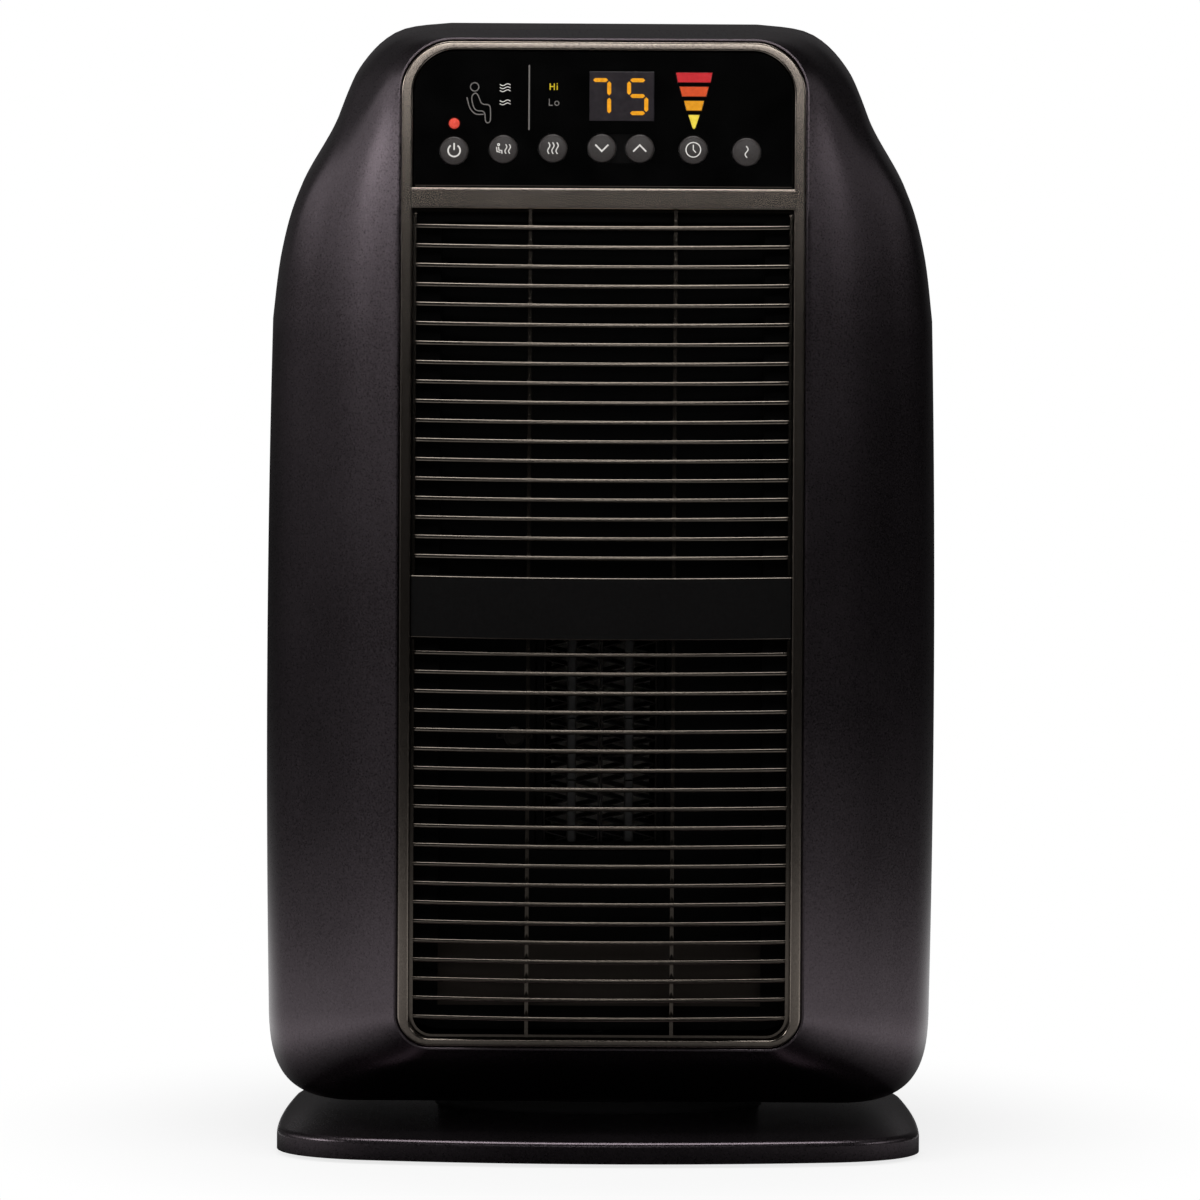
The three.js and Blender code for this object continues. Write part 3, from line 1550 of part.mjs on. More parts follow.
function blowerWheel() {
  const left = -wheelHalfWidth;
  const plate = turnedAcross([
    [0, left],
    [wheelRadius, left],
    [wheelRadius, left + wheelPlateThickness],
    [wheelHubRadius, left + 2 * wheelPlateThickness],
    [wheelHubRadius * wheelHubShare, left + wheelHubLength],
    [0, left + wheelHubLength],
  ], wheelSides);
  const ring = sleeveAcross(
    wheelRadius - wheelRingWidth,
    wheelRadius,
    wheelHalfWidth - wheelPlateThickness,
    wheelHalfWidth,
    wheelSides,
  );
  const blades = [];
  const bite = wheelPlateThickness / 2;
  for (let i = 0; i < wheelBlades; i += 1) {
    const blade = sideways(bladeSection(), left + bite, wheelHalfWidth - bite);
    blades.push(blade.rotateX((i * fullTurn) / wheelBlades));
  }
  const hubEnd = left + wheelHubLength;
  const bore = rodAcross(shaftRadius + clearance, left - overrun, hubEnd + overrun, smallSides);
  return carved(joined(plate, ring, ...blades), bore);
}

// Plan of one forward-leaning blade
function bladeSection() {
  const sweep = (wheelBladeOuter - wheelBladeInner) * wheelBladeLean;
  const half = wheelBladeThickness / 2;
  return shapeOf([
    [wheelBladeInner, -half - sweep],
    [wheelBladeOuter, -half + sweep],
    [wheelBladeOuter, half + sweep],
    [wheelBladeInner, half - sweep],
  ]);
}

// Motor, on the left of the blower and on its shaft

function motorBracket(near, far) {
  const plateShape = shapeOf([
    [-bracketHalfWidth, -bracketReach],
    [bracketHalfWidth, -bracketReach],
    [bracketHalfWidth, bracketReach],
    [-bracketHalfWidth, bracketReach],
  ]);
  const direction = Math.sign(far - near);
  const inner = near + direction * bracketThickness;
  const [plateLeft, plateRight] = [near, inner].sort((a, b) => a - b);
  const plate = sideways(plateShape, plateLeft, plateRight);
  const bearingEnd = near + direction * bearingLength;
  const [bearingLeft, bearingRight] = [near, bearingEnd].sort((a, b) => a - b);
  const bearing = rodAcross(bearingRadius, bearingLeft, bearingRight, roundSides);
  const posts = [-1, 1].map((side) => {
    const [postLeft, postRight] = [near + direction * (bracketThickness / 2), far].sort((a, b) => a - b);
    return rodAcross(bracketPostRadius, postLeft, postRight, screwSides)
      .translate(0, 0, side * (bracketReach - bracketPostRadius));
  });
  const bush = rodAcross(shaftRadius + bushGap, bearingLeft - overrun, bearingRight + overrun, smallSides);
  return carved(joined(plate, bearing, ...posts), bush).translate(0, shaftY, shaftZ);
}

function motorStack() {
  const { halfWidth, top, bottom } = stackWindow;
  const shape = shapeOf([
    [-stackHalfDepth, -stackBottom],
    [stackHalfDepth, -stackBottom],
    [stackHalfDepth, stackTop - bracketThickness],
    [stackHalfDepth - bracketThickness, stackTop],
    [bracketThickness - stackHalfDepth, stackTop],
    [-stackHalfDepth, stackTop - bracketThickness],
  ]);
  shape.holes.push(circle(0, 0, rotorRadius + rotorBoreGap));
  shape.holes.push(rectanglePath(-halfWidth, halfWidth, -bottom, -top));
  return sideways(shape, windingX - stackThickness, windingX, roundSides).translate(0, shaftY, shaftZ);
}

function motorCoil() {
  const limbBottom = -stackBottom;
  const limbTop = -stackWindow.bottom;
  const outerShape = new THREE.Shape(shapeOf([
    [windingX - stackThickness - coilBuild, limbBottom - coilBuild],
    [windingX + coilBuild, limbBottom - coilBuild],
    [windingX + coilBuild, limbTop + coilBuild],
    [windingX - stackThickness - coilBuild, limbTop + coilBuild],
  ]).getPoints());
  outerShape.holes.push(rectanglePath(
    windingX - stackThickness - clearance,
    windingX + clearance,
    limbBottom - clearance,
    limbTop + clearance,
  ));
  return frontal(outerShape, -coilHalfLength, coilHalfLength).translate(0, shaftY, shaftZ);
}

function motorRotor() {
  const right = windingX;
  return sleeveAcross(shaftRadius + clearance, rotorRadius, right - stackThickness, right, roundSides);
}

function motorShaft() {
  const left = windingX - stackThickness - bracketGap - bracketThickness - clearance;
  return rodAcross(shaftRadius, left, wheelHubLength - wheelHalfWidth + shaftRadius, smallSides);
}

// Power board

function powerBoardPosts() {
  return [powerBoardBottom + boardPostInset, powerBoardTop - boardPostInset].flatMap((z) => (
    [-1, 1].map((side) => [side * (powerBoardHalfWidth - boardPostInset), z])
  ));
}

function powerBoard() {
  const face = powerBoardY;
  const inside = face + boardThickness / 2;
  const plate = block(
    [-powerBoardHalfWidth, powerBoardHalfWidth],
    [face, face + boardThickness],
    [powerBoardBottom, powerBoardTop],
  );
  const relayBottom = powerBoardBottom + boardPostInset * 2;
  const relays = relayPlaces.map((x) => block(
    [x - relaySize.width / 2, x + relaySize.width / 2],
    [face - relaySize.depth, inside],
    [relayBottom, relayBottom + relaySize.height],
  ));
  const capacitor = rodBack(capacitorRadius, face - capacitorLength, inside, smallSides)
    .translate(sinkSize.width / 2 + capacitorRadius, 0, powerBoardTop - 2 * boardPostInset);
  return joined(plate, ...relays, capacitor);
}

// The finned cooler of the power switch, screwed to the board's right side
function heatSink() {
  const { width, depth, height } = sinkSize;
  const left = powerBoardHalfWidth - boardPostInset / 2 - width;
  const back = powerBoardY - clearance;
  const pitch = (width - sinkFinThickness) / (sinkFins - 1);
  const bottom = powerBoardBottom + boardPostInset * 2;
  const heights = [bottom, bottom + height];
  const plate = block([left, left + width], [back - sinkFinThickness, back], heights);
  const fins = [];
  for (let i = 0; i < sinkFins; i += 1) {
    const finLeft = left + i * pitch;
    const depths = [back - depth, back - sinkFinThickness / 2];
    fins.push(block([finLeft, finLeft + sinkFinThickness], depths, heights));
  }
  return joined(plate, ...fins);
}

function roomSensor() {
  const bottom = powerBoardTop + clearance;
  const leg = sensorRadius / 2;
  const tip = bottom + sensorHeight;
  return turnedUp([
    [0, bottom],
    [leg, bottom],
    [leg, tip - 3 * sensorRadius],
    [sensorRadius, tip - 2 * sensorRadius],
    [sensorRadius, tip - sensorRadius],
    [0, tip],
  ], screwSides);
}

// Tip-over switch: the plunger is shown pushed in by the floor, as when the heater stands

function tipPlunger() {
  const collarBottom = bodyInsideBottom + plungerTravel + plungerStop;
  const collarTop = collarBottom + plungerCollarHeight;
  const top = guideTop + plungerTravel / 2;
  return turnedUp([
    [0, 0],
    [plungerFootRadius, 0],
    [plungerFootRadius, plungerFootHeight],
    [plungerRadius, plungerFootHeight],
    [plungerRadius, collarBottom],
    [plungerCollarRadius, collarBottom],
    [plungerCollarRadius, collarTop],
    [plungerRadius, collarTop],
    [plungerRadius, top],
    [0, top],
  ], smallSides);
}

function tipGuide() {
  const inner = guideHalfWidth - guideWall;
  const box = block(
    [-guideHalfWidth, guideHalfWidth],
    [neckY - guideHalfWidth, neckY + guideHalfWidth],
    [guideBottom, guideTop],
  );
  const cavity = block(
    [-inner, inner],
    [neckY - inner, neckY + inner],
    [guideBottom - overrun, guideTop - guideWall],
  );
  const hole = rod(plungerHoleRadius, guideBottom, guideTop + overrun, smallSides).translate(0, neckY, 0);
  return carved(box, cavity, hole);
}

function tipSpring() {
  const collarTop = bodyInsideBottom + plungerTravel + plungerStop + plungerCollarHeight;
  const bottom = collarTop + clearance + springWire / 2;
  const top = guideTop - guideWall - clearance - springWire / 2;
  const rings = [];
  const steps = springTurns * springSteps;
  for (let i = 0; i <= steps; i += 1) {
    const turn = (i / springSteps) * fullTurn;
    const height = mix(bottom, top, i / steps);
    rings.push(Array.from({ length: springSides }, (_, k) => {
      const around = (k / springSides) * fullTurn;
      const reach = springRadius + (springWire / 2) * Math.cos(around);
      const up = height + (springWire / 2) * Math.sin(around);
      return new THREE.Vector3(reach * Math.cos(turn), neckY + reach * Math.sin(turn), up);
    }));
  }
  return loft(rings);
}

function tipMicroSwitch() {
  const { halfWidth, halfDepth, height, notchHalfWidth, notchHeight } = microSwitch;
  const bottom = guideTop + clearance;
  return frontal(shapeOf([
    [-halfWidth, bottom],
    [-notchHalfWidth, bottom],
    [-notchHalfWidth, bottom + notchHeight],
    [notchHalfWidth, bottom + notchHeight],
    [notchHalfWidth, bottom],
    [halfWidth, bottom],
    [halfWidth, bottom + height],
    [-halfWidth, bottom + height],
  ]), neckY - halfDepth, neckY + halfDepth);
}

// Wires inside the body

function heaterLead(side) {
  const x = side * (coreWidth / 2);
  const top = coreBottom - heaterFrameWall - clearance;
  const run = powerBoardTop + 2 * boardPostInset - 2 * cableRadius;
  const y = (heaterFrameBackY + ductBackY) / 2;
  return wire([
    [x, y, top],
    [x, y, top - cableRadius],
    [x, y + 4 * leadRadius, run],
    [x, (y + powerBoardY) / 2, run],
    [x, powerBoardY - 4 * leadRadius, run],
    [x, powerBoardY + boardThickness / 2, powerBoardTop + 3 * leadRadius],
    [x, powerBoardY + boardThickness / 2, powerBoardTop + clearance],
  ], leadRadius);
}

function motorLead() {
  const x = windingX - stackThickness / 2;
  const top = shaftZ - stackBottom - coilBuild - clearance;
  return wire([
    [x, shaftY, top],
    [x, shaftY, top - 2 * leadRadius],
    [x, (shaftY + powerBoardY) / 2, (top + powerBoardTop) / 2],
    [x, powerBoardY + boardThickness / 2, powerBoardTop + 3 * leadRadius],
    [x, powerBoardY + boardThickness / 2, powerBoardTop + clearance],
  ], leadRadius);
}

function controlCable() {
  const startY = faceAt(panelHeight) + controlBoardFront + 2 * boardThickness + overrun;
  const side = -ductHalfWidth - boardPostInset;
  const cableY = powerBoardY - cableRadius - clearance;
  return wire([
    [1 - controlBoardHalfWidth, startY, panelHeight - controlBoardDrop / 2],
    [side, mix(startY, shaftY, cableBendShares.upper), panelHeight - controlBoardDrop * cableBendShares.drop],
    [side, mix(startY, shaftY, cableBendShares.lower), intakeTop],
    [side, shaftY, (intakeTop + powerBoardTop) / 2],
    [side, shaftY, powerBoardTop + 4 * boardPostInset],
    [boardPostInset / 2 - powerBoardHalfWidth, cableY, powerBoardTop - boardPostInset],
    [boardPostInset - powerBoardHalfWidth, cableY, powerBoardTop - 3 * boardPostInset],
  ], cableRadius);
}

// The assembly

const heater = new THREE.Group();
const panel = new THREE.Group();
const rotatingGroup = new THREE.Group();

function addPiece(parent, name, geometry, finish) {
  const piece = new THREE.Mesh(geometry, new THREE.MeshStandardMaterial(finishes[finish]));
  piece.name = name;
  parent.add(piece);
  return piece;
}

panel.position.set(0, faceAt(panelHeight), panelHeight);
panel.rotation.x = -panelTilt;
rotatingGroup.position.set(0, shaftY, shaftZ);
heater.add(panel, rotatingGroup);

addPiece(heater, "base_plate", basePlate(), "bodyPlastic");
addPiece(heater, "base_cover", baseCover(), "mattePlastic");
footPlaces.forEach(([x, y], i) => {
  addPiece(heater, `rubber_foot_${i + 1}`, rubberFoot(), "rubber").position.set(x, y, 0);
});
baseScrewPlaces.forEach(([x, y], i) => {
  const headTop = baseTop - baseWall - clearance;
  const screw = addPiece(heater, `base_screw_${i + 1}`, panScrew(baseScrewLength), "steel");
  screw.position.set(x, y, headTop - screwHeadHeight);
});
addPiece(heater, "front_shell", frontShell(), "bodyPlastic");
addPiece(heater, "rear_shell", rearShell(), "bodyPlastic");
wellPlaces.forEach(([x, z], i) => {
  const screw = addPiece(heater, `shell_screw_${i + 1}`, panScrew(wellScrewLength), "steel");
  screw.rotation.x = quarterTurn;
  screw.position.set(x, wellFloorY + clearance + screwHeadHeight, z);
});
addPiece(heater, "intake_grille", intakeGrille(), "mattePlastic");
addPiece(heater, "cord_gland", cordGland(), "rubber");

addPiece(heater, "trim_frame", trimFrame(), "trimPaint");
addPiece(heater, "lower_grille", lowerGrille(), "grillePlastic");
addPiece(heater, "upper_grille", upperGrille(), "grillePlastic");
addPiece(heater, "centre_band", centreBand(), "mattePlastic");

addPiece(panel, "control_lens", controlLens(), "glossBlack");
for (const [name, x] of Object.entries(buttonPlaces)) {
  addPiece(panel, name, buttonCap(), "buttonPlastic").position.set(x, 0, buttonHeightAt(x));
}
addPiece(panel, "power_lamp", powerLamp(), "redLight").position.set(lampPlace.x, 0, lampPlace.up);
addPiece(panel, "display_filter", displayFilter(), "displayTint");
addPiece(panel, "display_module", displayModule(), "mattePlastic");
addPiece(panel, "timer_light_guide", timerLightGuide(), "amberLight");
addPiece(panel, "control_board", controlBoard(), "circuitBoard");

addPiece(heater, "outlet_duct", outletDuct(), "heatPlastic");
addPiece(heater, "heater_frame", heaterFrame(), "heatPlastic");
["left", "right"].forEach((side, i) => {
  const offset = (i - 1 / 2) * (coreWidth + clearance);
  addPiece(heater, `ceramic_core_${side}`, ceramicCore(), "aluminium").position.x = offset;
});
addPiece(heater, "thermal_cutout", thermalCutout(), "steel").position.set(cutoutPlace.x, 0, cutoutPlace.z);

addPiece(heater, "blower_housing", blowerHousing(), "mattePlastic");
addPiece(rotatingGroup, "blower_wheel", blowerWheel(), "wheelPlastic");
addPiece(rotatingGroup, "motor_shaft", motorShaft(), "steel");
addPiece(rotatingGroup, "motor_rotor", motorRotor(), "steel");
addPiece(heater, "motor_stack", motorStack(), "steel");
addPiece(heater, "motor_coil", motorCoil(), "copper");
const housingLeft = -voluteHalfWidth - voluteWall - clearance;
const stackLeft = windingX - stackThickness;
addPiece(heater, "motor_front_bracket", motorBracket(housingLeft, windingX + clearance), "aluminium");
addPiece(
  heater,
  "motor_rear_bracket",
  motorBracket(stackLeft - bracketGap - bracketThickness, stackLeft - clearance),
  "aluminium",
);

addPiece(heater, "power_board", powerBoard(), "circuitBoard");
addPiece(heater, "heat_sink", heatSink(), "aluminium");
addPiece(heater, "room_sensor", roomSensor(), "mattePlastic")
  .position.set(sensorX, powerBoardY + boardThickness / 2, 0);
addPiece(heater, "tip_plunger", tipPlunger(), "wheelPlastic").position.y = neckY;
addPiece(heater, "tip_guide", tipGuide(), "mattePlastic");
addPiece(heater, "tip_spring", tipSpring(), "steel");
addPiece(heater, "tip_micro_switch", tipMicroSwitch(), "mattePlastic");
addPiece(heater, "heater_lead_left", heaterLead(-1), "wireSleeve");
addPiece(heater, "heater_lead_right", heaterLead(1), "wireSleeve");
addPiece(heater, "motor_lead", motorLead(), "wireSleeve");
addPiece(heater, "control_cable", controlCable(), "rubber");

export default heater;
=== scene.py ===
# %% [markdown]
# # Dressing a ceramic room heater
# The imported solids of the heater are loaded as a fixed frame: they say where every piece is and how it
# moves. Each visible piece is then made again with finer curves, or keeps its solid and gets a better
# finish. Lengths of the pieces are typed in millimetres and turned to metres where a mesh is made. The
# places of the lamps, and how far away the camera stands, are in metres.

# %% Load the frame
import json
import math

import bmesh
import bpy
import numpy as np
from mathutils import Matrix, Vector

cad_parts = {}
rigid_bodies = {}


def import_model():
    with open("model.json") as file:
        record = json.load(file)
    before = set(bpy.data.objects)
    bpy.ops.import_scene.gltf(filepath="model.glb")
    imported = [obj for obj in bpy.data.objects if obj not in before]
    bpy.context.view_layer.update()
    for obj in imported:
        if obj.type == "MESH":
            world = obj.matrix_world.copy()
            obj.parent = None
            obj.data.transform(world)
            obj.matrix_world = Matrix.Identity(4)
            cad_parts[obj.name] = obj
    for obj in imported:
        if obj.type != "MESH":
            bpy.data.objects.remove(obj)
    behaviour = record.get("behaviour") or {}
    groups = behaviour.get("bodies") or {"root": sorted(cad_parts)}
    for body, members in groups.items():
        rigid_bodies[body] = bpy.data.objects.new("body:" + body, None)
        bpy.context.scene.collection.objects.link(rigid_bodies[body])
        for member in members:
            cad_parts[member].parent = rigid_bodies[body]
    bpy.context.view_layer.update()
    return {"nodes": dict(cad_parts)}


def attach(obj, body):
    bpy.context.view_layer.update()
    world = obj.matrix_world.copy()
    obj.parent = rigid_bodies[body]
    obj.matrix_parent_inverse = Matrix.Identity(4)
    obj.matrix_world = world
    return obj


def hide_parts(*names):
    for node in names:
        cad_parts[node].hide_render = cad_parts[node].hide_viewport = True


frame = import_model()
solids = frame["nodes"]
mm = 0.001
BODY = "heater_body"

# %% [markdown]
# ## Making meshes
# Nearly every moulded piece here is a loft: rings of equally many points, joined by strips of four-sided
# faces. A loft keeps its faces in neat rows, so highlights run evenly along it. Blender could also skin
# curves or use subdivision, but with rings the shape comes straight from measured sections. Holes are then
# cut with booleans.

# %% Rings to meshes
def ring_faces(count, size, looped):
    """Four-sided faces between rings of equally many points."""
    faces = []
    spans = count if looped else count - 1
    for i in range(spans):
        near = i * size
        far = ((i + 1) % count) * size
        for j in range(size):
            k = (j + 1) % size
            faces.append((near + j, near + k, far + k, far + j))
    if not looped:
        faces.append(tuple(reversed(range(size))))
        faces.append(tuple(range((count - 1) * size, count * size)))
    return faces


def linked(name, data):
    """An object with its mesh, lamp or camera data, put into the scene."""
    made = bpy.data.objects.new(name, data)
    bpy.context.scene.collection.objects.link(made)
    return made


def from_shape(shape):
    """A scratch object from an edited mesh, which is closed."""
    mesh = bpy.data.meshes.new("form")
    shape.to_mesh(mesh)
    shape.free()
    return linked("form", mesh)


def mesh_from(points, faces, name="form"):
    """A mesh object in metres from points in millimetres, with its faces turned outward."""
    mesh = bpy.data.meshes.new(name)
    mesh.from_pydata((np.asarray(points, float) * mm).tolist(), [], faces)
    shape = bmesh.new()
    shape.from_mesh(mesh)
    bmesh.ops.recalc_face_normals(shape, faces=shape.faces)
    if shape.calc_volume(signed=True) < 0:
        bmesh.ops.reverse_faces(shape, faces=shape.faces)
    shape.to_mesh(mesh)
    shape.free()
    return linked(name, mesh)


def loft(rings, looped=False):
    """A closed form through rings. A looped one joins its last ring to its first."""
    rings = [np.asarray(ring, float) for ring in rings]
    return mesh_from(np.concatenate(rings), ring_faces(len(rings), len(rings[0]), looped))


# %% Joining and cutting
def gathered(forms):
    """Several separate forms as one object, without merging their surfaces."""
    shape = bmesh.new()
    for form in forms:
        shape.from_mesh(form.data)
        bpy.data.objects.remove(form)
    return from_shape(shape)


def boolean(form, others, operation):
    """Unites, cuts or intersects a form with others, one after the other, and removes them."""
    for other in others:
        step = form.modifiers.new("step", "BOOLEAN")
        step.operation = operation
        step.solver = "EXACT"
        step.object = other
    bpy.context.view_layer.update()
    settled = form.evaluated_get(bpy.context.evaluated_depsgraph_get())
    mesh = bpy.data.meshes.new_from_object(settled)
    form.modifiers.clear()
    form.data = mesh
    for other in others:
        bpy.data.objects.remove(other)
    return form


def united(form, *others):
    return boolean(form, others, "UNION")


def cut(form, *others):
    return boolean(form, others, "DIFFERENCE")


def common(form, other):
    return boolean(form, [other], "INTERSECT")


# %% [markdown]
# ## Named pieces
# A finished piece gets its name, its finish, smooth shading that stays crisp at real edges, the body that
# it moves with, and the solids that it stands for.

# %% Finish a piece
def piece(form, name, material, slot, stands_for=(), body=BODY, crisp=30):
    """Names a form and hands it to the frame."""
    form.name = name
    form.data.name = name
    form.data.shade_smooth()
    form.data.set_sharp_from_angle(angle=math.radians(crisp))
    even = form.modifiers.new("even_shading", "WEIGHTED_NORMAL")
    even.keep_sharp = True
    form.data.materials.clear()
    for finish in material if isinstance(material, (list, tuple)) else [material]:
        form.data.materials.append(finish)
    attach(form, body)
    if stands_for:
        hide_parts(*stands_for)
    low = np.array([v.co for v in form.data.vertices]).min(0) / mm
    high = np.array([v.co for v in form.data.vertices]).max(0) / mm
    print(f"{name}: {len(form.data.polygons)} faces, {np.round(low, 1)} to {np.round(high, 1)} mm")
    return form


def skin(form, solid, material, slot, **more):
    """Hands over a form that stands for one solid, under that solid's name."""
    return piece(form, f"{solid}_skin", material, slot, [solid], **more)


# %% Simple forms with softened edges
def block(x, y, z, soft=0.0):
    """A box between three pairs of limits, with its edges softened by a small bevel."""
    shape = bmesh.new()
    bmesh.ops.create_cube(shape, size=1)
    for corner in shape.verts:
        corner.co = [mm * (a + (b - a) * (c + 0.5)) for (a, b), c in zip((x, y, z), corner.co)]
    if soft:
        edges = shape.edges[:]
        bmesh.ops.bevel(shape, geom=edges, offset=soft * mm, segments=3, profile=0.5, affect="EDGES")
    return from_shape(shape)


def turned(profile, sides=48, centre=(0, 0, 0), axis="Z"):
    """A lathe form. The profile is pairs of radius and height, and starts and ends on the axis or closes."""
    profile = np.asarray(profile, float)
    closed = profile[0, 0] > 0 and np.allclose(profile[0], profile[-1])
    profile = profile[:-1] if closed else profile
    angles = np.linspace(0, 2 * math.pi, sides, endpoint=False)
    points, rows = [], []
    for radius, height in profile:
        if radius < 1e-9:
            rows.append([len(points)])
            points.append((0, 0, height))
        else:
            rows.append(list(range(len(points), len(points) + sides)))
            level = [radius * np.cos(angles), radius * np.sin(angles), np.full(sides, height)]
            points.extend(np.column_stack(level))
    faces = []
    following = rows[1:] + ([rows[0]] if closed else [])
    for near, far in zip(rows, following):
        for j in range(sides):
            k = (j + 1) % sides
            corners = [near[j % len(near)], near[k % len(near)], far[k % len(far)], far[j % len(far)]]
            kept = list(dict.fromkeys(corners))
            if len(kept) > 2:
                faces.append(kept)
    points = np.array(points)
    if axis == "Y":
        points = points[:, [0, 2, 1]] * [1, 1, -1]
    return mesh_from(points + np.asarray(centre, float), faces)


def rod(radius, low, high, sides, centre, axis="Z"):
    """A plain round rod between two heights on its axis."""
    return turned([(0, low), (radius, low), (radius, high), (0, high)], sides, centre, axis)


def rods_back(radius, low, high, sides, places):
    """Rods from front to back at several places (x, z)."""
    return [rod(radius, low, high, sides, (x, 0, z), "Y") for x, z in places]


def rods_up(radius, low, high, sides, places):
    """Upright rods at several places (x, y)."""
    return [rod(radius, low, high, sides, (x, y, 0)) for x, y in places]


def told(label, form):
    """Says how many faces a form has."""
    print(f"{label}: {len(form.data.polygons)} faces")


def prism(outline, place, low, high):
    """A flat outline pushed from one depth to another. The place function puts it in space."""
    outline = np.asarray(outline, float)
    rings = [np.array([place(a, b, depth) for a, b in outline]) for depth in (low, high)]
    return loft(rings)


def frontal(x, z, y):
    """Puts a point of a front view (across, up) in space, at a depth y."""
    return (x, y, z)


def sideways(y, z, x):
    """Puts a point of a side view (back, up) in space, at a position x."""
    return (x, y, z)


def level_ring(left, right, near, far, height):
    """A level rectangle between two x and two y positions, at one height."""
    return [(left, near, height), (right, near, height), (right, far, height), (left, far, height)]


def quarter(count):
    """The angles of a quarter turn, for rounded edges."""
    return np.radians(np.linspace(0, 90, count))


print("mesh makers ready: loft, turned, rod, prism and block")

# %% [markdown]
# ## The sections that drive every shape
# The front face of the heater leans back along a long arc, and the trim, grille and panel all follow it.
# The body's outline, seen from the front, is a bottle shoulder over nearly straight sides. Both could be
# traced as Bezier curves by hand; here they are written as measured points, so that each piece can be cut
# from the same lines and still meet its neighbours.

# %% The face and its curves
FACE_FRONT, FACE_BELLY, FACE_RADIUS = -74.5, 120.0, 1900.0
BODY_TOP, BODY_BOTTOM, BODY_HALF = 430.0, 15.0, 128.4
SEAM, BACK, WALL, GAP = -14.0, 80.0, 2.5, 0.3


def face_at(height):
    """How far forward the leaning front face is at a height."""
    return FACE_FRONT + (height - FACE_BELLY) ** 2 / (2 * FACE_RADIUS)


def mix(start, end, share):
    return start + (end - start) * share


def straight(x0, y0, x1, y1, count=40):
    share = np.linspace(0, 1, count)[:, None]
    return np.array([x0, y0]) * (1 - share) + np.array([x1, y1]) * share


def arc(x, y, radius, start, end, count=60):
    turn = np.radians(np.linspace(start, end, count))
    return np.column_stack([x + radius * np.cos(turn), y + radius * np.sin(turn)])


def bezier(points, count=120):
    """A Bezier curve of any degree, by repeated mixing of its control points."""
    share = np.linspace(0, 1, count)[:, None, None]
    rows = np.repeat(np.array(points, float)[None], count, axis=0)
    while rows.shape[1] > 1:
        rows = rows[:, :-1] * (1 - share) + rows[:, 1:] * share
    return rows[:, 0]


def spline(points, count=60, first=None, last=None):
    """A smooth curve through points, with count steps in each stretch."""
    points = np.array(points, float)
    before = points[0] if first is None else first
    beyond = points[-1] if last is None else last
    padded = np.vstack([before, points, beyond])
    t = np.linspace(0, 1, count, endpoint=False)[:, None]
    rows = []
    for a, b, c, d in zip(padded, padded[1:], padded[2:], padded[3:]):
        rows.append(b + 0.5 * t * (c - a + t * (2 * a - 5 * b + 4 * c - d + t * (3 * (b - c) + d - a))))
    return np.vstack([*rows, points[-1:]])


# %% Walking along an outline
STRETCHES = [0, 1, 5, 9, 12, 16, 17]
STEPS = [10, 22, 22, 22, 22, 10]


def eased(keys, values, wanted):
    """A monotone curve through keys and values, so that the spacing of points changes gently."""
    keys, values = np.array(keys, float), np.array(values, float)
    gaps, slopes = np.diff(keys), np.diff(values) / np.diff(keys)
    inner_slopes = 2 * slopes[:-1] * slopes[1:] / (slopes[:-1] + slopes[1:])
    tangents = np.concatenate([slopes[:1], inner_slopes, slopes[-1:]])
    i = np.clip(np.searchsorted(keys, wanted, side="right") - 1, 0, len(gaps) - 1)
    t, h = (wanted - keys[i]) / gaps[i], gaps[i]
    return (
        values[i] * (1 + 2 * t) * (1 - t) ** 2
        + values[i + 1] * t**2 * (3 - 2 * t)
        + h * (tangents[i] * t * (1 - t) ** 2 - tangents[i + 1] * t**2 * (1 - t))
    )


def walked(curves, keys, gently=False, stretches=STRETCHES, steps=STEPS):
    """Points down the right half of an outline, then back up the left half."""
    line = np.vstack([curves[0], *[curve[1:] for curve in curves[1:]]])
    along = np.concatenate([[0], np.cumsum(np.linalg.norm(np.diff(line, axis=0), axis=1))])
    ends = np.cumsum([0] + [np.linalg.norm(np.diff(curve, axis=0), axis=1).sum() for curve in curves])
    runs = [np.linspace(a, b, n, endpoint=False) for a, b, n in zip(stretches, stretches[1:], steps)]
    wanted = np.concatenate([*runs, [stretches[-1]]])
    reach = eased(keys, ends, wanted) if gently else np.interp(wanted, keys, ends)
    right = np.column_stack([np.interp(reach, along, line[:, k]) for k in range(2)])
    left = right[-2:0:-1] * [-1, 1]
    return np.vstack([right, left])


# %% The body's outline and the windows in its face
SHOULDER_DROP, CROWN_HALF, CORNER_HEIGHT, CORNER_RUN = 112.0, 60.0, 38.0, 33.0
SHOULDER = [(0.626, 0.031), (0.739, 0.158), (0.816, 0.363), (0.913, 0.567), (0.963, 0.772), (0.988, 1.0)]


def silhouette():
    """The outline of the body at its seam."""
    points = [(CROWN_HALF, BODY_TOP)] + [(a * BODY_HALF, BODY_TOP - d * SHOULDER_DROP) for a, d in SHOULDER]
    foot = (0.993 * BODY_HALF, BODY_BOTTOM + CORNER_HEIGHT)
    side_middle = (1.0126 * BODY_HALF, (points[-1][1] + foot[1]) / 2)
    end = (foot[0] - CORNER_RUN, BODY_BOTTOM)
    corner = [foot, (foot[0], foot[1] - 0.63 * CORNER_HEIGHT), (end[0] + 0.86 * CORNER_RUN, BODY_BOTTOM), end]
    curves = [
        straight(0, BODY_TOP, CROWN_HALF, BODY_TOP),
        spline(points),
        bezier([points[-1], side_middle, foot]),
        bezier(corner),
        straight(*end, 0, BODY_BOTTOM),
    ]
    return walked(curves, [0, 1, 9, 12, 16, 17], gently=True)


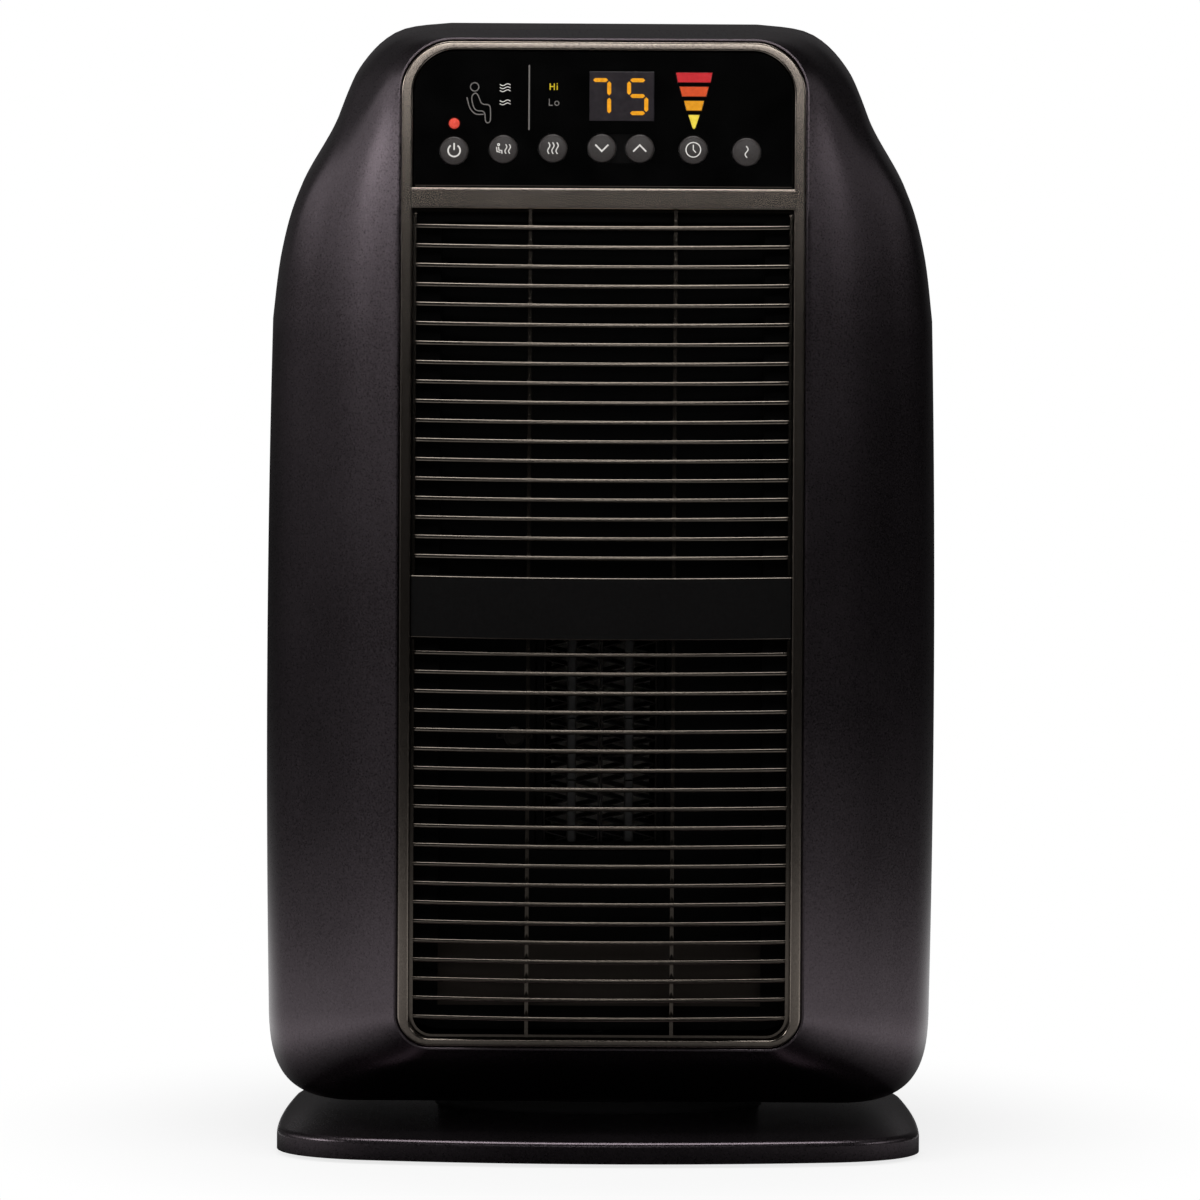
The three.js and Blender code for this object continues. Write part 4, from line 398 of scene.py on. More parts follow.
def window(half, top, bottom, top_radius, bottom_radius, waist, gently=False):
    """A tall rounded window, walked in the same stretches as the body's outline."""
    curves = [
        straight(0, top, half - top_radius, top),
        arc(half - top_radius, top - top_radius, top_radius, 90, 0),
        straight(half, top - top_radius, half, waist),
        straight(half, waist, half, bottom + bottom_radius),
        arc(half - bottom_radius, bottom + bottom_radius, bottom_radius, 0, -90),
        straight(half - bottom_radius, bottom, 0, bottom),
    ]
    return walked(curves, STRETCHES, gently)


TRIM_HALF, TRIM_TOP, TRIM_BOTTOM = 77.5, 428.5, 43.3
TRIM_TOP_RADIUS, TRIM_BOTTOM_RADIUS, TRIM_DEPTH = 20.0, 12.7, 4.0
TRIM_SIDE, TRIM_UPPER, TRIM_LOWER = 4.5, 3.5, 3.1
SHOULDER_FOOT = BODY_TOP - SHOULDER_DROP


def trim_outline(side, top=None, bottom=None, gently=False):
    """The trim's outer line, grown on all sides by a margin."""
    top = side if top is None else top
    bottom = side if bottom is None else bottom
    return window(
        TRIM_HALF + side,
        TRIM_TOP + top,
        TRIM_BOTTOM - bottom,
        TRIM_TOP_RADIUS + min(side, top),
        TRIM_BOTTOM_RADIUS + min(side, bottom),
        SHOULDER_FOOT,
        gently,
    )


def on_face(outline, set_back):
    """An outline in front view laid on the leaning face, some way behind it."""
    return np.column_stack([outline[:, 0], face_at(outline[:, 1]) + set_back, outline[:, 1]])


print("points round the body:", len(silhouette()))

# %% [markdown]
# ## The two body shells
# The shells are injection mouldings in charcoal, so they have walls of even thickness and no seams but the
# one between them. The front one sweeps from the lip round the trim back to the seam, and the rear one
# rounds over to a flat back. Each is a loft of outer and inner rings. Its bosses, screw wells, grip pocket
# and openings are then joined and cut as the mould would form them.

# %% Walls of even thickness
def normals_of(rings):
    """The outward direction at every point of a stack of rings."""
    rings = np.asarray(rings)
    along = np.roll(rings, -1, axis=1) - np.roll(rings, 1, axis=1)
    front = np.concatenate([rings[:1], rings[:-1]])
    back = np.concatenate([rings[1:], rings[-1:]])
    cross = np.cross(along, back - front)
    return cross / np.maximum(np.linalg.norm(cross, axis=2, keepdims=True), 1e-9)


def inside(rings, wall):
    return np.asarray(rings) - normals_of(rings) * wall


# %% Front shell
WING = [(0, 0), (0.35, 0.19), (0.68, 0.46), (0.92, 0.70), (1, 1)]
wing_line = spline(WING, 8, first=(-0.35, -0.19), last=(0.92, 1.3))
seam_line = silhouette()
lip_line = trim_outline(1.2, gently=True)


def wing_rings(seam_y):
    """Outer rings of the front shell, from the lip to the seam."""
    rings = []
    for across, back in wing_line:
        flat = mix(lip_line, seam_line, across)
        depth = mix(face_at(lip_line[:, 1]), seam_y, back)
        rings.append(np.column_stack([flat[:, 0], depth, flat[:, 1]]))
    return np.array(rings)


WELLS = [(-88, 62), (88, 62), (-86, 332), (86, 332)]
LIP_ROUND = 0.35
seam_front = SEAM - GAP / 2
outer = wing_rings(seam_front)
inner = inside(outer, WALL)[1:]
inner[-1][:, 1] = seam_front
pocket = TRIM_DEPTH + GAP
to_window = (-TRIM_SIDE, -TRIM_UPPER, -TRIM_LOWER)
edges = [((0.6,), 0), ((GAP,), LIP_ROUND), ((GAP,), pocket), (to_window, pocket)]
edges += [(to_window, pocket + WALL), ((0,), pocket + WALL)]
front_edges = [on_face(trim_outline(*grown, gently=True), back) for grown, back in edges]
front_form = loft([*outer[::-1], *front_edges, *inner], looped=True)
told("front shell loft", front_form)

# %% Bosses of the front shell
BOSS_RADIUS, PILOT_RADIUS, BOSS_END, PILOT_END = 5.8, 2, -70, -42
bosses = rods_back(BOSS_RADIUS, BOSS_END, seam_front, 32, WELLS)
boss_forms = common(gathered(bosses), loft(inside(outer, WALL / 2)))
pilots = rods_back(PILOT_RADIUS, PILOT_END, SEAM, 20, WELLS)
front_form = cut(united(front_form, boss_forms), gathered(pilots))
told("front shell with its bosses", front_form)

# %% Rear shell
BACK_HALF, BACK_TOP, BACK_BOTTOM, ROUNDNESS, TOP_FALL = 104.0, 405.0, 28.0, 2.6, 6.5
seam_back = SEAM + GAP / 2
rounding = []
for turn in np.radians(np.concatenate([[0], np.linspace(18, 90, 20)])):
    depth = math.sin(turn) ** (2 / ROUNDNESS)
    inward = 1 - max(math.cos(turn), 0.0) ** (2 / ROUNDNESS)
    level = inward**2
    across = mix(seam_line[:, 0], seam_line[:, 0] * BACK_HALF / BODY_HALF, inward)
    raised = (seam_line[:, 1] - BODY_BOTTOM) * (BACK_TOP - BACK_BOTTOM)
    lowered = BACK_BOTTOM + raised / (BODY_TOP - BODY_BOTTOM)
    crown = np.clip((seam_line[:, 1] - SHOULDER_FOOT) / SHOULDER_DROP, 0, 1) ** 3
    up = mix(seam_line[:, 1], lowered, level) - TOP_FALL * depth**2 * crown
    rounding.append(np.column_stack([across, np.full(len(up), mix(seam_back, BACK, depth)), up]))
rear_outer = np.array(rounding)
rear_inner = inside(rear_outer, WALL)
rear_inner[0][:, 1] = seam_back
rear_inner[-1][:, 1] = BACK - WALL
rear_form = loft([*rear_inner[::-1], *rear_outer])
rear_volume = loft(inside(rear_outer, WALL / 2))
told("rear shell loft", rear_form)

# %% What the mould adds inside the rear shell
GRIP_HALF, GRIP_BOTTOM, GRIP_TOP = 48.0, 345.0, 372.0
GRIP_DEPTH, GRIP_LIP, PAST_BACK = 50, 72, BACK + 4
BASE_SCREWS = [(-45, 2), (45, 2), (-45, 28), (45, 28)]


def grip_profile(wall):
    """Side view of the carry grip: a pocket whose roof rises behind the lip, for the fingertips."""
    low, high = GRIP_BOTTOM - wall, GRIP_TOP + wall
    mouth = [(PAST_BACK, low), (PAST_BACK, high), (GRIP_LIP, high), (GRIP_LIP - 4, high + 8)]
    return [*mouth, (GRIP_DEPTH - wall, high + 4), (GRIP_DEPTH - wall, low)]


WALL_MIDDLE, BOARD_BACK, BOARD_POST, FLOOR_BOSS, FLOOR_BOSS_TOP = 78, 56.9, 3.5, 4.6, 28.5
well_forms = rods_back(BOSS_RADIUS, seam_back, WALL_MIDDLE, 32, WELLS)
posts = [(x, z) for x in (-48, 48) for z in (41, 83)]
post_forms = rods_back(BOARD_POST, BOARD_BACK, WALL_MIDDLE, 24, posts)
floor_forms = rods_up(FLOOR_BOSS, BODY_BOTTOM, FLOOR_BOSS_TOP, 24, BASE_SCREWS)
grip_walls = prism(grip_profile(WALL), sideways, -GRIP_HALF - WALL, GRIP_HALF + WALL)
additions = common(gathered([*well_forms, *post_forms, *floor_forms, grip_walls]), rear_volume)
rear_form = united(rear_form, additions)
told("rear shell with its bosses", rear_form)

# %% What the mould leaves open in the rear shell
INTAKE_HALF, INTAKE_BOTTOM, INTAKE_TOP = 79.0, 100.0, 320.0
GLAND = (-78, 52)
BORE_RADIUS, PLUNGER_RADIUS, GLAND_RADIUS = 4, 3, 7.8
THROUGH_WALL, NECK_Y = 73, 14
bores = rods_back(BORE_RADIUS, 2, PAST_BACK, 32, WELLS)
holes = rods_back(PILOT_RADIUS, -18, 6, 20, WELLS)
floor_holes = rods_up(PILOT_RADIUS, 11, 26, 20, BASE_SCREWS)
plunger_hole = rod(PLUNGER_RADIUS, 11, 17.8, 24, (0, NECK_Y, 0))
gland_hole = rod(GLAND_RADIUS, THROUGH_WALL, PAST_BACK, 48, (GLAND[0], 0, GLAND[1]), "Y")
intake_width, intake_height = (-INTAKE_HALF, INTAKE_HALF), (INTAKE_BOTTOM, INTAKE_TOP)
intake_hole = block(intake_width, (THROUGH_WALL, PAST_BACK), intake_height, soft=2)
grip_hole = prism(grip_profile(0), sideways, -GRIP_HALF, GRIP_HALF)
small_holes = gathered([*holes, *floor_holes, plunger_hole])
rear_form = cut(rear_form, gathered(bores), small_holes, gland_hole, intake_hole, grip_hole)
told("rear shell with its openings", rear_form)

# %% [markdown]
# ## The base
# The base is a shallow moulded tray turned upside down, with a bright rounded edge that catches the light
# and an oval neck that carries the body. Its outline is a flat front arc, tight corners and a waist towards
# the back. Insetting the same outline ring by ring gives the rounded edge without a bevel tool.

# %% Base
BASE_HALF, BASE_DEPTH, BASE_BOTTOM, BASE_TOP, BASE_FILLET, BASE_WALL = 123.5, 195.0, 1.5, 10.0, 2.5, 2.3
BASE_FRONT_RADIUS, BASE_CORNER, BASE_BACK_HALF, WAIST = 500, 88.0, 66, 6
CORNER_END, WAIST_AT, PULL = -55, 40, 0.58
BASE_STEPS = [14, 24, 12, 24, 8]
NECK, NECK_FILLET, NECK_FOOT = (62, 33, NECK_Y), 1.8, 8.85


def base_outline(inset):
    """The base from above: a flat front arc, a tight corner, a waisted side and a round back corner."""
    half, depth, corner = BASE_HALF - inset, BASE_DEPTH / 2 - inset, BASE_CORNER - inset
    corner_y = corner**2 / (2 * BASE_FRONT_RADIUS) - depth
    reach, waist = (half - corner) * PULL, half - WAIST
    front_corner = [
        (corner, corner_y),
        (corner + reach, corner_y + reach * corner / BASE_FRONT_RADIUS),
        (half, mix(CORNER_END, corner_y, PULL)),
        (half, CORNER_END),
    ]
    back_corner = [
        (waist, WAIST_AT),
        (waist - WAIST, mix(WAIST_AT, depth, PULL)),
        (mix(BASE_BACK_HALF, waist, PULL), depth),
        (BASE_BACK_HALF, depth),
    ]
    curves = [
        bezier([(0, -depth), (corner / 2, -depth), (corner, corner_y)]),
        bezier(front_corner),
        bezier([(half, CORNER_END), (half, mix(CORNER_END, WAIST_AT, 0.45)), (waist, WAIST_AT)]),
        bezier(back_corner),
        straight(BASE_BACK_HALF, depth, 0, depth),
    ]
    return walked(curves, range(6), stretches=range(6), steps=BASE_STEPS)


def base_ring(inset, height):
    flat = base_outline(inset)
    return np.column_stack([flat, np.full(len(flat), height)])


base_rings = [base_ring(0, BASE_BOTTOM)]
for a in quarter(9):
    rounded_down = BASE_TOP - BASE_FILLET * (1 - math.sin(a))
    base_rings.append(base_ring(BASE_FILLET * (1 - math.cos(a)), rounded_down))
base_hollow = loft([base_ring(BASE_WALL, -3), base_ring(BASE_WALL, BASE_TOP - BASE_WALL)])
base_form = cut(loft(base_rings), base_hollow)


def oval(half_width, half_depth, y, height, count=72):
    turn = np.linspace(0, 2 * math.pi, count, endpoint=False)
    return np.column_stack([half_width * np.cos(turn), y + half_depth * np.sin(turn), np.full(count, height)])


def neck_ring(grow, height):
    return oval(NECK[0] + grow, NECK[1] + grow, NECK[2], height)


neck_rings = [neck_ring(NECK_FILLET, NECK_FOOT)]
for a in quarter(7):
    rounded_up = BASE_TOP - 0.05 + NECK_FILLET * (1 - math.cos(a))
    neck_rings.append(neck_ring(NECK_FILLET * (1 - math.sin(a)), rounded_up))
neck_rings.append(neck_ring(0, BODY_BOTTOM - GAP))
base_form = united(base_form, loft(neck_rings))
base_holes = rods_up(PILOT_RADIUS, -1, 18, 20, BASE_SCREWS)
base_holes.append(rod(PLUNGER_RADIUS, -1, 18, 24, (0, NECK_Y, 0)))
base_form = cut(base_form, gathered(base_holes))
told("base", base_form)

# %% [markdown]
# ## The trim frame
# A painted frame runs round the whole front, with a crossbar between the panel and the grille. What the eye
# reads on it is the bright line along each rounded edge, so the section has true quarter rounds, not flat
# chamfers. It is one looped loft between the outer line and the window line.

# %% Trim frame
WINDOW_HALF = TRIM_HALF - TRIM_SIDE
WINDOW_TOP, WINDOW_BOTTOM = TRIM_TOP - TRIM_UPPER, TRIM_BOTTOM + TRIM_LOWER
CROSSBAR_TOP, CROSSBAR_BOTTOM, CROSSBAR_HALF = 372.8, 364.9, 75.2
TRIM_EDGE, BAR_EDGE, BAR_BACK = 0.9, 0.7, 0.1


def trim_opening(margin):
    return window(
        WINDOW_HALF + margin,
        WINDOW_TOP + margin,
        WINDOW_BOTTOM - margin,
        TRIM_TOP_RADIUS - TRIM_UPPER + margin,
        TRIM_BOTTOM_RADIUS - TRIM_SIDE + margin,
        SHOULDER_FOOT,
    )


rising = [(1 - math.cos(a), 1 - math.sin(a)) for a in quarter(6)]
trim_rings = [on_face(trim_outline(0), TRIM_DEPTH)]
trim_rings += [on_face(trim_outline(-TRIM_EDGE * slow), TRIM_EDGE * fast) for slow, fast in rising]
trim_rings += [on_face(trim_opening(TRIM_EDGE * fast), TRIM_EDGE * slow) for slow, fast in rising]
trim_rings += [on_face(trim_opening(0), TRIM_DEPTH)]
trim_form = loft(trim_rings, looped=True)
bar = [(CROSSBAR_BOTTOM, TRIM_DEPTH)]
bar += [(CROSSBAR_BOTTOM + BAR_EDGE * slow, BAR_BACK + BAR_EDGE * fast) for slow, fast in rising]
bar += [(CROSSBAR_TOP - BAR_EDGE * fast, BAR_BACK + BAR_EDGE * slow) for slow, fast in rising]
bar += [(CROSSBAR_TOP, TRIM_DEPTH)]
bar_rings = []
for x in (-CROSSBAR_HALF, CROSSBAR_HALF):
    bar_rings.append([(x, face_at(height) + back, height) for height, back in bar])
trim_form = united(trim_form, loft(bar_rings))
told("trim frame", trim_form)

# %% [markdown]
# ## The louvred grille
# Each louvre is a thin blade with a rounded nose, bowed forward in the middle, so its lit edge draws a fine
# bright arc. The blades, the rim round the window and the two upright ribs are one moulding. Arrays and
# a bend modifier could bow them, but one formula for the bow keeps the blades, ribs and band in step.

# %% Bowed blades
SLAT_HALF, BOW, SLAT_PITCH, FIRST_SLAT = 71.8, 6.5, 7.4, 54.65
BAND_BOTTOM = mix(TRIM_BOTTOM, CROSSBAR_BOTTOM, 0.4904)
BAND_TOP = BAND_BOTTOM + 24
RIM_GAP, RIM_WALL, RIM_BACK, RIM_DEPTH = 0.7, 0.9, 1.2, 8.6
RIM_HALF, BORDER_HALF, BORDER_BACK, BORDER_DEPTH = WINDOW_HALF - RIM_GAP, WINDOW_HALF + 2.6, 7.8, 2
RIBS, RIB_WIDTH, RIB_BACK, SLAT_BACK = (-27.8, 27.8), 1.4, 9.8, 2
NOSE_RADIUS, SLAT_DEPTH, WEB_HALF, WEB_TIP, WEB_RISE = 0.95, 6.8, 1.1, 0.25, 2.2


def bow_at(x):
    return BOW * (1 - (min(abs(x), SLAT_HALF) / SLAT_HALF) ** 2)


def bowed_bar(section, height, half_width, set_back, steps):
    """A section of (back, up) points, swept across the face and bowed forward."""
    rings = []
    for x in np.linspace(-half_width, half_width, steps + 1):
        inset = set_back - bow_at(x)
        rings.append([(x, face_at(height + up) + inset + back, height + up) for back, up in section])
    return loft(rings)


nose_turn = np.radians(np.linspace(-84, 84, 9))
nose = [(NOSE_RADIUS * (1 - math.cos(a)), NOSE_RADIUS * math.sin(a)) for a in nose_turn]
SLAT_SECTION = [(SLAT_DEPTH, -0.25), *nose, (SLAT_DEPTH, 0.25)]
lower_heights = [FIRST_SLAT + i * SLAT_PITCH for i in range(20)]
upper_heights = [FIRST_SLAT + i * SLAT_PITCH for i in range(24, 42)]


def face_bar(left, right, low, high, set_back, depth, steps=24):
    """An upright bar that follows the lean of the face."""
    rings = []
    for height in np.linspace(low, high, steps + 1):
        front = face_at(height) + set_back
        rings.append(level_ring(left, right, front, front + depth, height))
    return loft(rings)


def gusset(x, height):
    """The small pointed web that stands on a blade where a rib crosses it."""
    front = face_at(height) + SLAT_BACK - bow_at(x)
    foot, rear = height + 0.5, front + 5
    base = level_ring(x - WEB_HALF, x + WEB_HALF, front + 0.8, rear, foot)
    tip = level_ring(x - WEB_TIP, x + WEB_TIP, front + WEB_RISE, rear, foot + WEB_RISE)
    return loft([base, tip])


# %% Rims and borders
def frame_between(outer_line, inner_line, set_back, depth):
    """A frame between two lines on the face."""
    far = set_back + depth
    sets = [(outer_line, set_back), (outer_line, far), (inner_line, far), (inner_line, set_back)]
    return loft([on_face(line, back) for line, back in sets], looped=True)


def grille_form(top, bottom, bottom_radius, heights, rim):
    """One grille: border plate, rim, ribs, blades and the webs that stand on the blades."""
    waist = (top + bottom) / 2
    border = window(BORDER_HALF, top + 2, bottom - 2, 1, max(bottom_radius + 4.2, 1), waist)
    opening = window(RIM_HALF - RIM_WALL, top - 2, bottom + RIM_WALL, 1, bottom_radius, waist)
    plate = frame_between(border, opening, BORDER_BACK, BORDER_DEPTH)
    slats = gathered([bowed_bar(SLAT_SECTION, height, SLAT_HALF, SLAT_BACK, 24) for height in heights])
    rib_front, half_rib = 5 - bow_at(RIBS[1]), RIB_WIDTH / 2
    rib_run = (bottom + 0.45, top, rib_front, RIB_BACK - rib_front)
    ribs = [face_bar(x - half_rib, x + half_rib, *rib_run) for x in RIBS]
    webs = gathered([gusset(x, height) for height in heights for x in RIBS])
    return united(plate, *rim, gathered(ribs), slats, webs)


lower_bottom, lower_radius = WINDOW_BOTTOM + RIM_GAP, TRIM_BOTTOM_RADIUS - TRIM_SIDE - RIM_GAP
rim_outer = window(RIM_HALF, BAND_TOP, lower_bottom, 1, lower_radius + RIM_WALL, 150)
rim_inner = window(RIM_HALF - RIM_WALL, BAND_TOP - RIM_WALL, lower_bottom + RIM_WALL, 1, lower_radius, 150)
lower_rim = frame_between(rim_outer, rim_inner, RIM_BACK, RIM_DEPTH)
lower_rim = cut(lower_rim, block((-80, 80), (-90, -30), (BAND_BOTTOM - GAP, BAND_TOP + 5)))
middle, joint_gap = (BAND_BOTTOM + BAND_TOP) / 2, 2.15
lower_form = grille_form(middle - joint_gap, lower_bottom, lower_radius, lower_heights, [lower_rim])
rim_run = (BAND_TOP + GAP, CROSSBAR_BOTTOM - 2.7, RIM_BACK, RIM_DEPTH)
upper_rims = [face_bar(left, left + RIM_WALL, *rim_run) for left in (-RIM_HALF, RIM_HALF - RIM_WALL)]
upper_form = grille_form(CROSSBAR_BOTTOM, middle + joint_gap, 1, upper_heights, [gathered(upper_rims)])
print("lower and upper grille:", len(lower_form.data.polygons), len(upper_form.data.polygons), "faces")

# %% [markdown]
# ## The centre band
# A plain bowed band crosses the grille at mid height. It is a channel section with rounded front edges,
# which give the bright hairline along its top, swept with the same bow as the blades.

# %% Centre band
BAND_EDGE, BAND_HALF, BAND_WALL = 0.8, 12, 1.5
round_up = []
for a in quarter(6)[::-1]:
    round_up.append((BAND_EDGE * (1 - math.sin(a)), BAND_HALF - BAND_EDGE + BAND_EDGE * math.cos(a)))
front_run = [(back, -up) for back, up in reversed(round_up)] + round_up
flange = [(6.6, BAND_HALF), (6.6, BAND_HALF - BAND_WALL), (BAND_WALL, BAND_HALF - BAND_WALL)]
band_section = [*front_run, *flange, *[(back, -up) for back, up in reversed(flange)]]
band_form = bowed_bar(band_section, middle, WINDOW_HALF - GAP, 0.9, 36)
told("centre band", band_form)

# %% [markdown]
# ## The control panel
# The panel is a flat sheet of gloss black acrylic that leans back with the face. All its pieces are made in
# its own flat frame, X across and Z up the panel, and then laid on the lean with one matrix. The holes for
# the keys have small chamfers, as a moulded lens has, so that each one shows a fine ring of light.

# %% The panel's own frame
PANEL_HEIGHT = (CROSSBAR_TOP + WINDOW_TOP) / 2
PANEL_TILT = math.atan((PANEL_HEIGHT - FACE_BELLY) / FACE_RADIUS)
PANEL_HALF = (WINDOW_TOP - CROSSBAR_TOP) / 2 / math.cos(PANEL_TILT)
LENS_FRONT, LENS_BACK, LENS_TOP_RADIUS, LENS_BOTTOM_RADIUS = 0.8, 3.4, 16.2, 1
panel_middle = Vector((0, face_at(PANEL_HEIGHT), PANEL_HEIGHT)) * mm
panel = Matrix.Translation(panel_middle) @ Matrix.Rotation(-PANEL_TILT, 4, "X")
KEYS = {
    "power_button": -57.2,
    "personal_mode_button": -38.4,
    "room_mode_button": -19.4,
    "temperature_down_button": -0.7,
    "temperature_up_button": 13.8,
    "timer_button": 34.3,
    "quiet_button": 54.7,
}
KEY_RADIUS, KEY_ROW, KEY_SAG = 5.4, -10.9, 2560
LAMP, LAMP_HOLE = (-57.2, -1.7), 2.1
DISPLAY = (-5.5, 19.2, -0.4, 18.5)
FLANGE_FRONT, BOARD_FRONT = 3.7, 11.8


def key_height(x):
    """The row of keys sags a little towards both ends."""
    return KEY_ROW - x**2 / KEY_SAG


def on_panel(form):
    """Lays a form, made in the panel's own frame, on the lean."""
    form.data.transform(panel)
    return form


# %% Lens with its holes
def lens_ring(inset, depth):
    bottom = GAP + LENS_BACK * math.sin(PANEL_TILT) - PANEL_HALF + inset
    half, top = WINDOW_HALF - GAP - inset, PANEL_HALF - GAP - inset
    line = window(half, top, bottom, LENS_TOP_RADIUS - inset, LENS_BOTTOM_RADIUS - inset, 0)
    return np.column_stack([line[:, 0], np.full(len(line), depth), line[:, 1]])


def flared_hole(radius, x, up):
    """A cutter for a round hole with a small chamfer at the front of the lens."""
    flare = radius + 0.25
    outside = [(0, -2), (flare, -2), (flare, LENS_FRONT)]
    return turned([*outside, (radius, LENS_FRONT + 0.25), (radius, 6), (0, 6)], 48, (x, 0, up), "Y")


LIGHT_GAP = 0.2
TIMER_BARS = [
    (27.6, 41.4, 28.3, 40.7, 14.6, 18.2),
    (28.95, 40.05, 30.0, 39.0, 9.2, 12.8),
    (30.75, 38.25, 31.7, 37.3, 3.8, 7.4),
]
POINTER_MIDDLE = 34.5
POINTER = [(32.4, 2), (33.8, -2.3), (34.1, -3), (34.5, -3.25), (34.9, -3), (35.2, -2.3), (36.6, 2)]


def bar_outline(bar_size, grow):
    """A tapering timer bar, grown by a margin."""
    left, right, foot_left, foot_right, bottom, top = bar_size
    low, high = bottom - grow, top + grow
    return [(foot_left - grow, low), (foot_right + grow, low), (right + grow, high), (left - grow, high)]


def pointer_outline(grow):
    """The pointer under the bars, grown by a margin."""
    points = []
    for x, up in POINTER:
        points.append((POINTER_MIDDLE + (x - POINTER_MIDDLE) * (1 + grow / 2), up + math.copysign(grow, up)))
    return points


def display_box(grow, front, back):
    """The limits of the display window, grown by a margin, between two depths."""
    left, right, bottom, top = DISPLAY
    return (left - grow, right + grow), (front, back), (bottom - grow, top + grow)


down, up = KEYS["temperature_down_button"], KEYS["temperature_up_button"]
track_height = key_height((down + up) / 2)
track_end = (track_height, KEY_RADIUS + 0.35)
track = np.vstack([arc(up, *track_end, -90, 90, 24), arc(down, *track_end, 90, 270, 24)])
lens_form = loft([lens_ring(0.35, LENS_FRONT), lens_ring(0, LENS_FRONT + 0.35), lens_ring(0, LENS_BACK)])
key_holes = gathered([flared_hole(KEY_RADIUS + 0.35, x, key_height(x)) for x in KEYS.values()])
shapes = [bar_outline(size, LIGHT_GAP) for size in TIMER_BARS] + [pointer_outline(LIGHT_GAP)]
light_holes = [prism(shape, frontal, -2, 6) for shape in shapes]
display_hole = block(*display_box(LIGHT_GAP, -2, 6))
lens_form = cut(lens_form, key_holes, gathered([*light_holes, display_hole, flared_hole(LAMP_HOLE, *LAMP)]))
lens_form = cut(lens_form, prism(track, frontal, -2, LENS_FRONT + 1))
posts_at = [(x, z) for x in (-66.5, 66.5) for z in (-21, 9)]
lens_posts = rods_back(2, 2.5, BOARD_FRONT, 24, posts_at)
lens_form = on_panel(united(lens_form, gathered(lens_posts)))
told("lens", lens_form)

# %% [markdown]
# ## Keys and their marks
# Each key is a domed cap with a softly rounded shoulder, a flange that stops it behind the lens, and a stem
# that reaches its switch. The marks are pad printed: thin white lines that lie on the dome. A printed mark
# could be a texture, but here each is a raised ribbon a few hundredths of a millimetre high, which stays
# sharp close up.

# %% Key caps
DOME_RADIUS, DOME_FRONT, DOME_DEPTH, STEM_RADIUS, STEM_END = 4.4, -0.2, 0.25, 2.2, 7.3


def key_dome(r):
    """How deep the dome of a cap lies at a distance from its middle."""
    return DOME_FRONT + DOME_DEPTH * (r / DOME_RADIUS) ** 2


dome = [(r, key_dome(r)) for r in np.linspace(0, DOME_RADIUS, 8)]
shoulder = []
for a in np.radians(np.linspace(15, 90, 6)):
    shoulder.append((DOME_RADIUS + math.sin(a), 0.05 + 0.9 * (1 - math.cos(a))))
stem = [(STEM_RADIUS, 4.8), (STEM_RADIUS, STEM_END), (0, STEM_END)]
CAP = [*dome, *shoulder, (KEY_RADIUS, 3.8), (6.6, 3.8), (6.6, 4.8), *stem]
cap_forms = {name: on_panel(turned(CAP, 64, (x, 0, key_height(x)), "Y")) for name, x in KEYS.items()}
print(len(cap_forms), "key caps")


# %% Printed lines
def ribbon(points, width, depth_at, closed=False, lift=0.05, sink=0.3):
    """A thin raised line of even width through flat points (across, up)."""
    points = np.array(points, float)
    if closed:
        before, after = np.roll(points, 1, 0), np.roll(points, -1, 0)
    else:
        before = np.vstack([2 * points[0] - points[1], points[:-1]])
        after = np.vstack([points[1:], 2 * points[-1] - points[-2]])
    into, out = points - before, after - points
    into /= np.linalg.norm(into, axis=1, keepdims=True)
    out /= np.linalg.norm(out, axis=1, keepdims=True)
    normal_in, normal_out = into[:, ::-1] * [-1, 1], out[:, ::-1] * [-1, 1]
    mitre = normal_in + normal_out
    mitre /= np.linalg.norm(mitre, axis=1, keepdims=True)
    reach = width / 2 / np.maximum((mitre * normal_in).sum(1, keepdims=True), 0.45)
    left, right = points + mitre * reach, points - mitre * reach
    rings = []
    for a, b in zip(left, right):
        rings.append([
            (a[0], depth_at(*a) - lift, a[1]),
            (b[0], depth_at(*b) - lift, b[1]),
            (b[0], depth_at(*b) + sink, b[1]),
            (a[0], depth_at(*a) + sink, a[1]),
        ])
    return loft(rings, looped=closed)


def circle(x, up, radius, count):
    return arc(x, up, radius, 0, 360, count)[:-1]


def wave(x, up, height, swing, upright=True, count=24):
    """One period and a bit of a gentle wave, drawn upright or lying down."""
    t = np.linspace(-1, 1, count)
    along, side = t * height / 2, swing * np.sin(t * math.pi * 1.1)
    return np.column_stack([x + side, up + along] if upright else [x + along, up + side])


# %% Marks on the keys
def seat_mark(x, up, size):
    """A small seated figure in side view, for the personal mode."""
    body = [(-1.0, 0.9), (-0.75, -0.5), (0.35, -0.6), (0.45, -1.9)]
    back = [(-1.75, 0.8), (-1.55, -1.0), (-0.2, -1.35)]
    scaled = lambda line: [(x + a * size, up + b * size) for a, b in line]
    head = circle(x - 0.95 * size, up + 1.75 * size, 0.38 * size, 20)
    return [(head, True), (scaled(body), False), (scaled(back), False)]


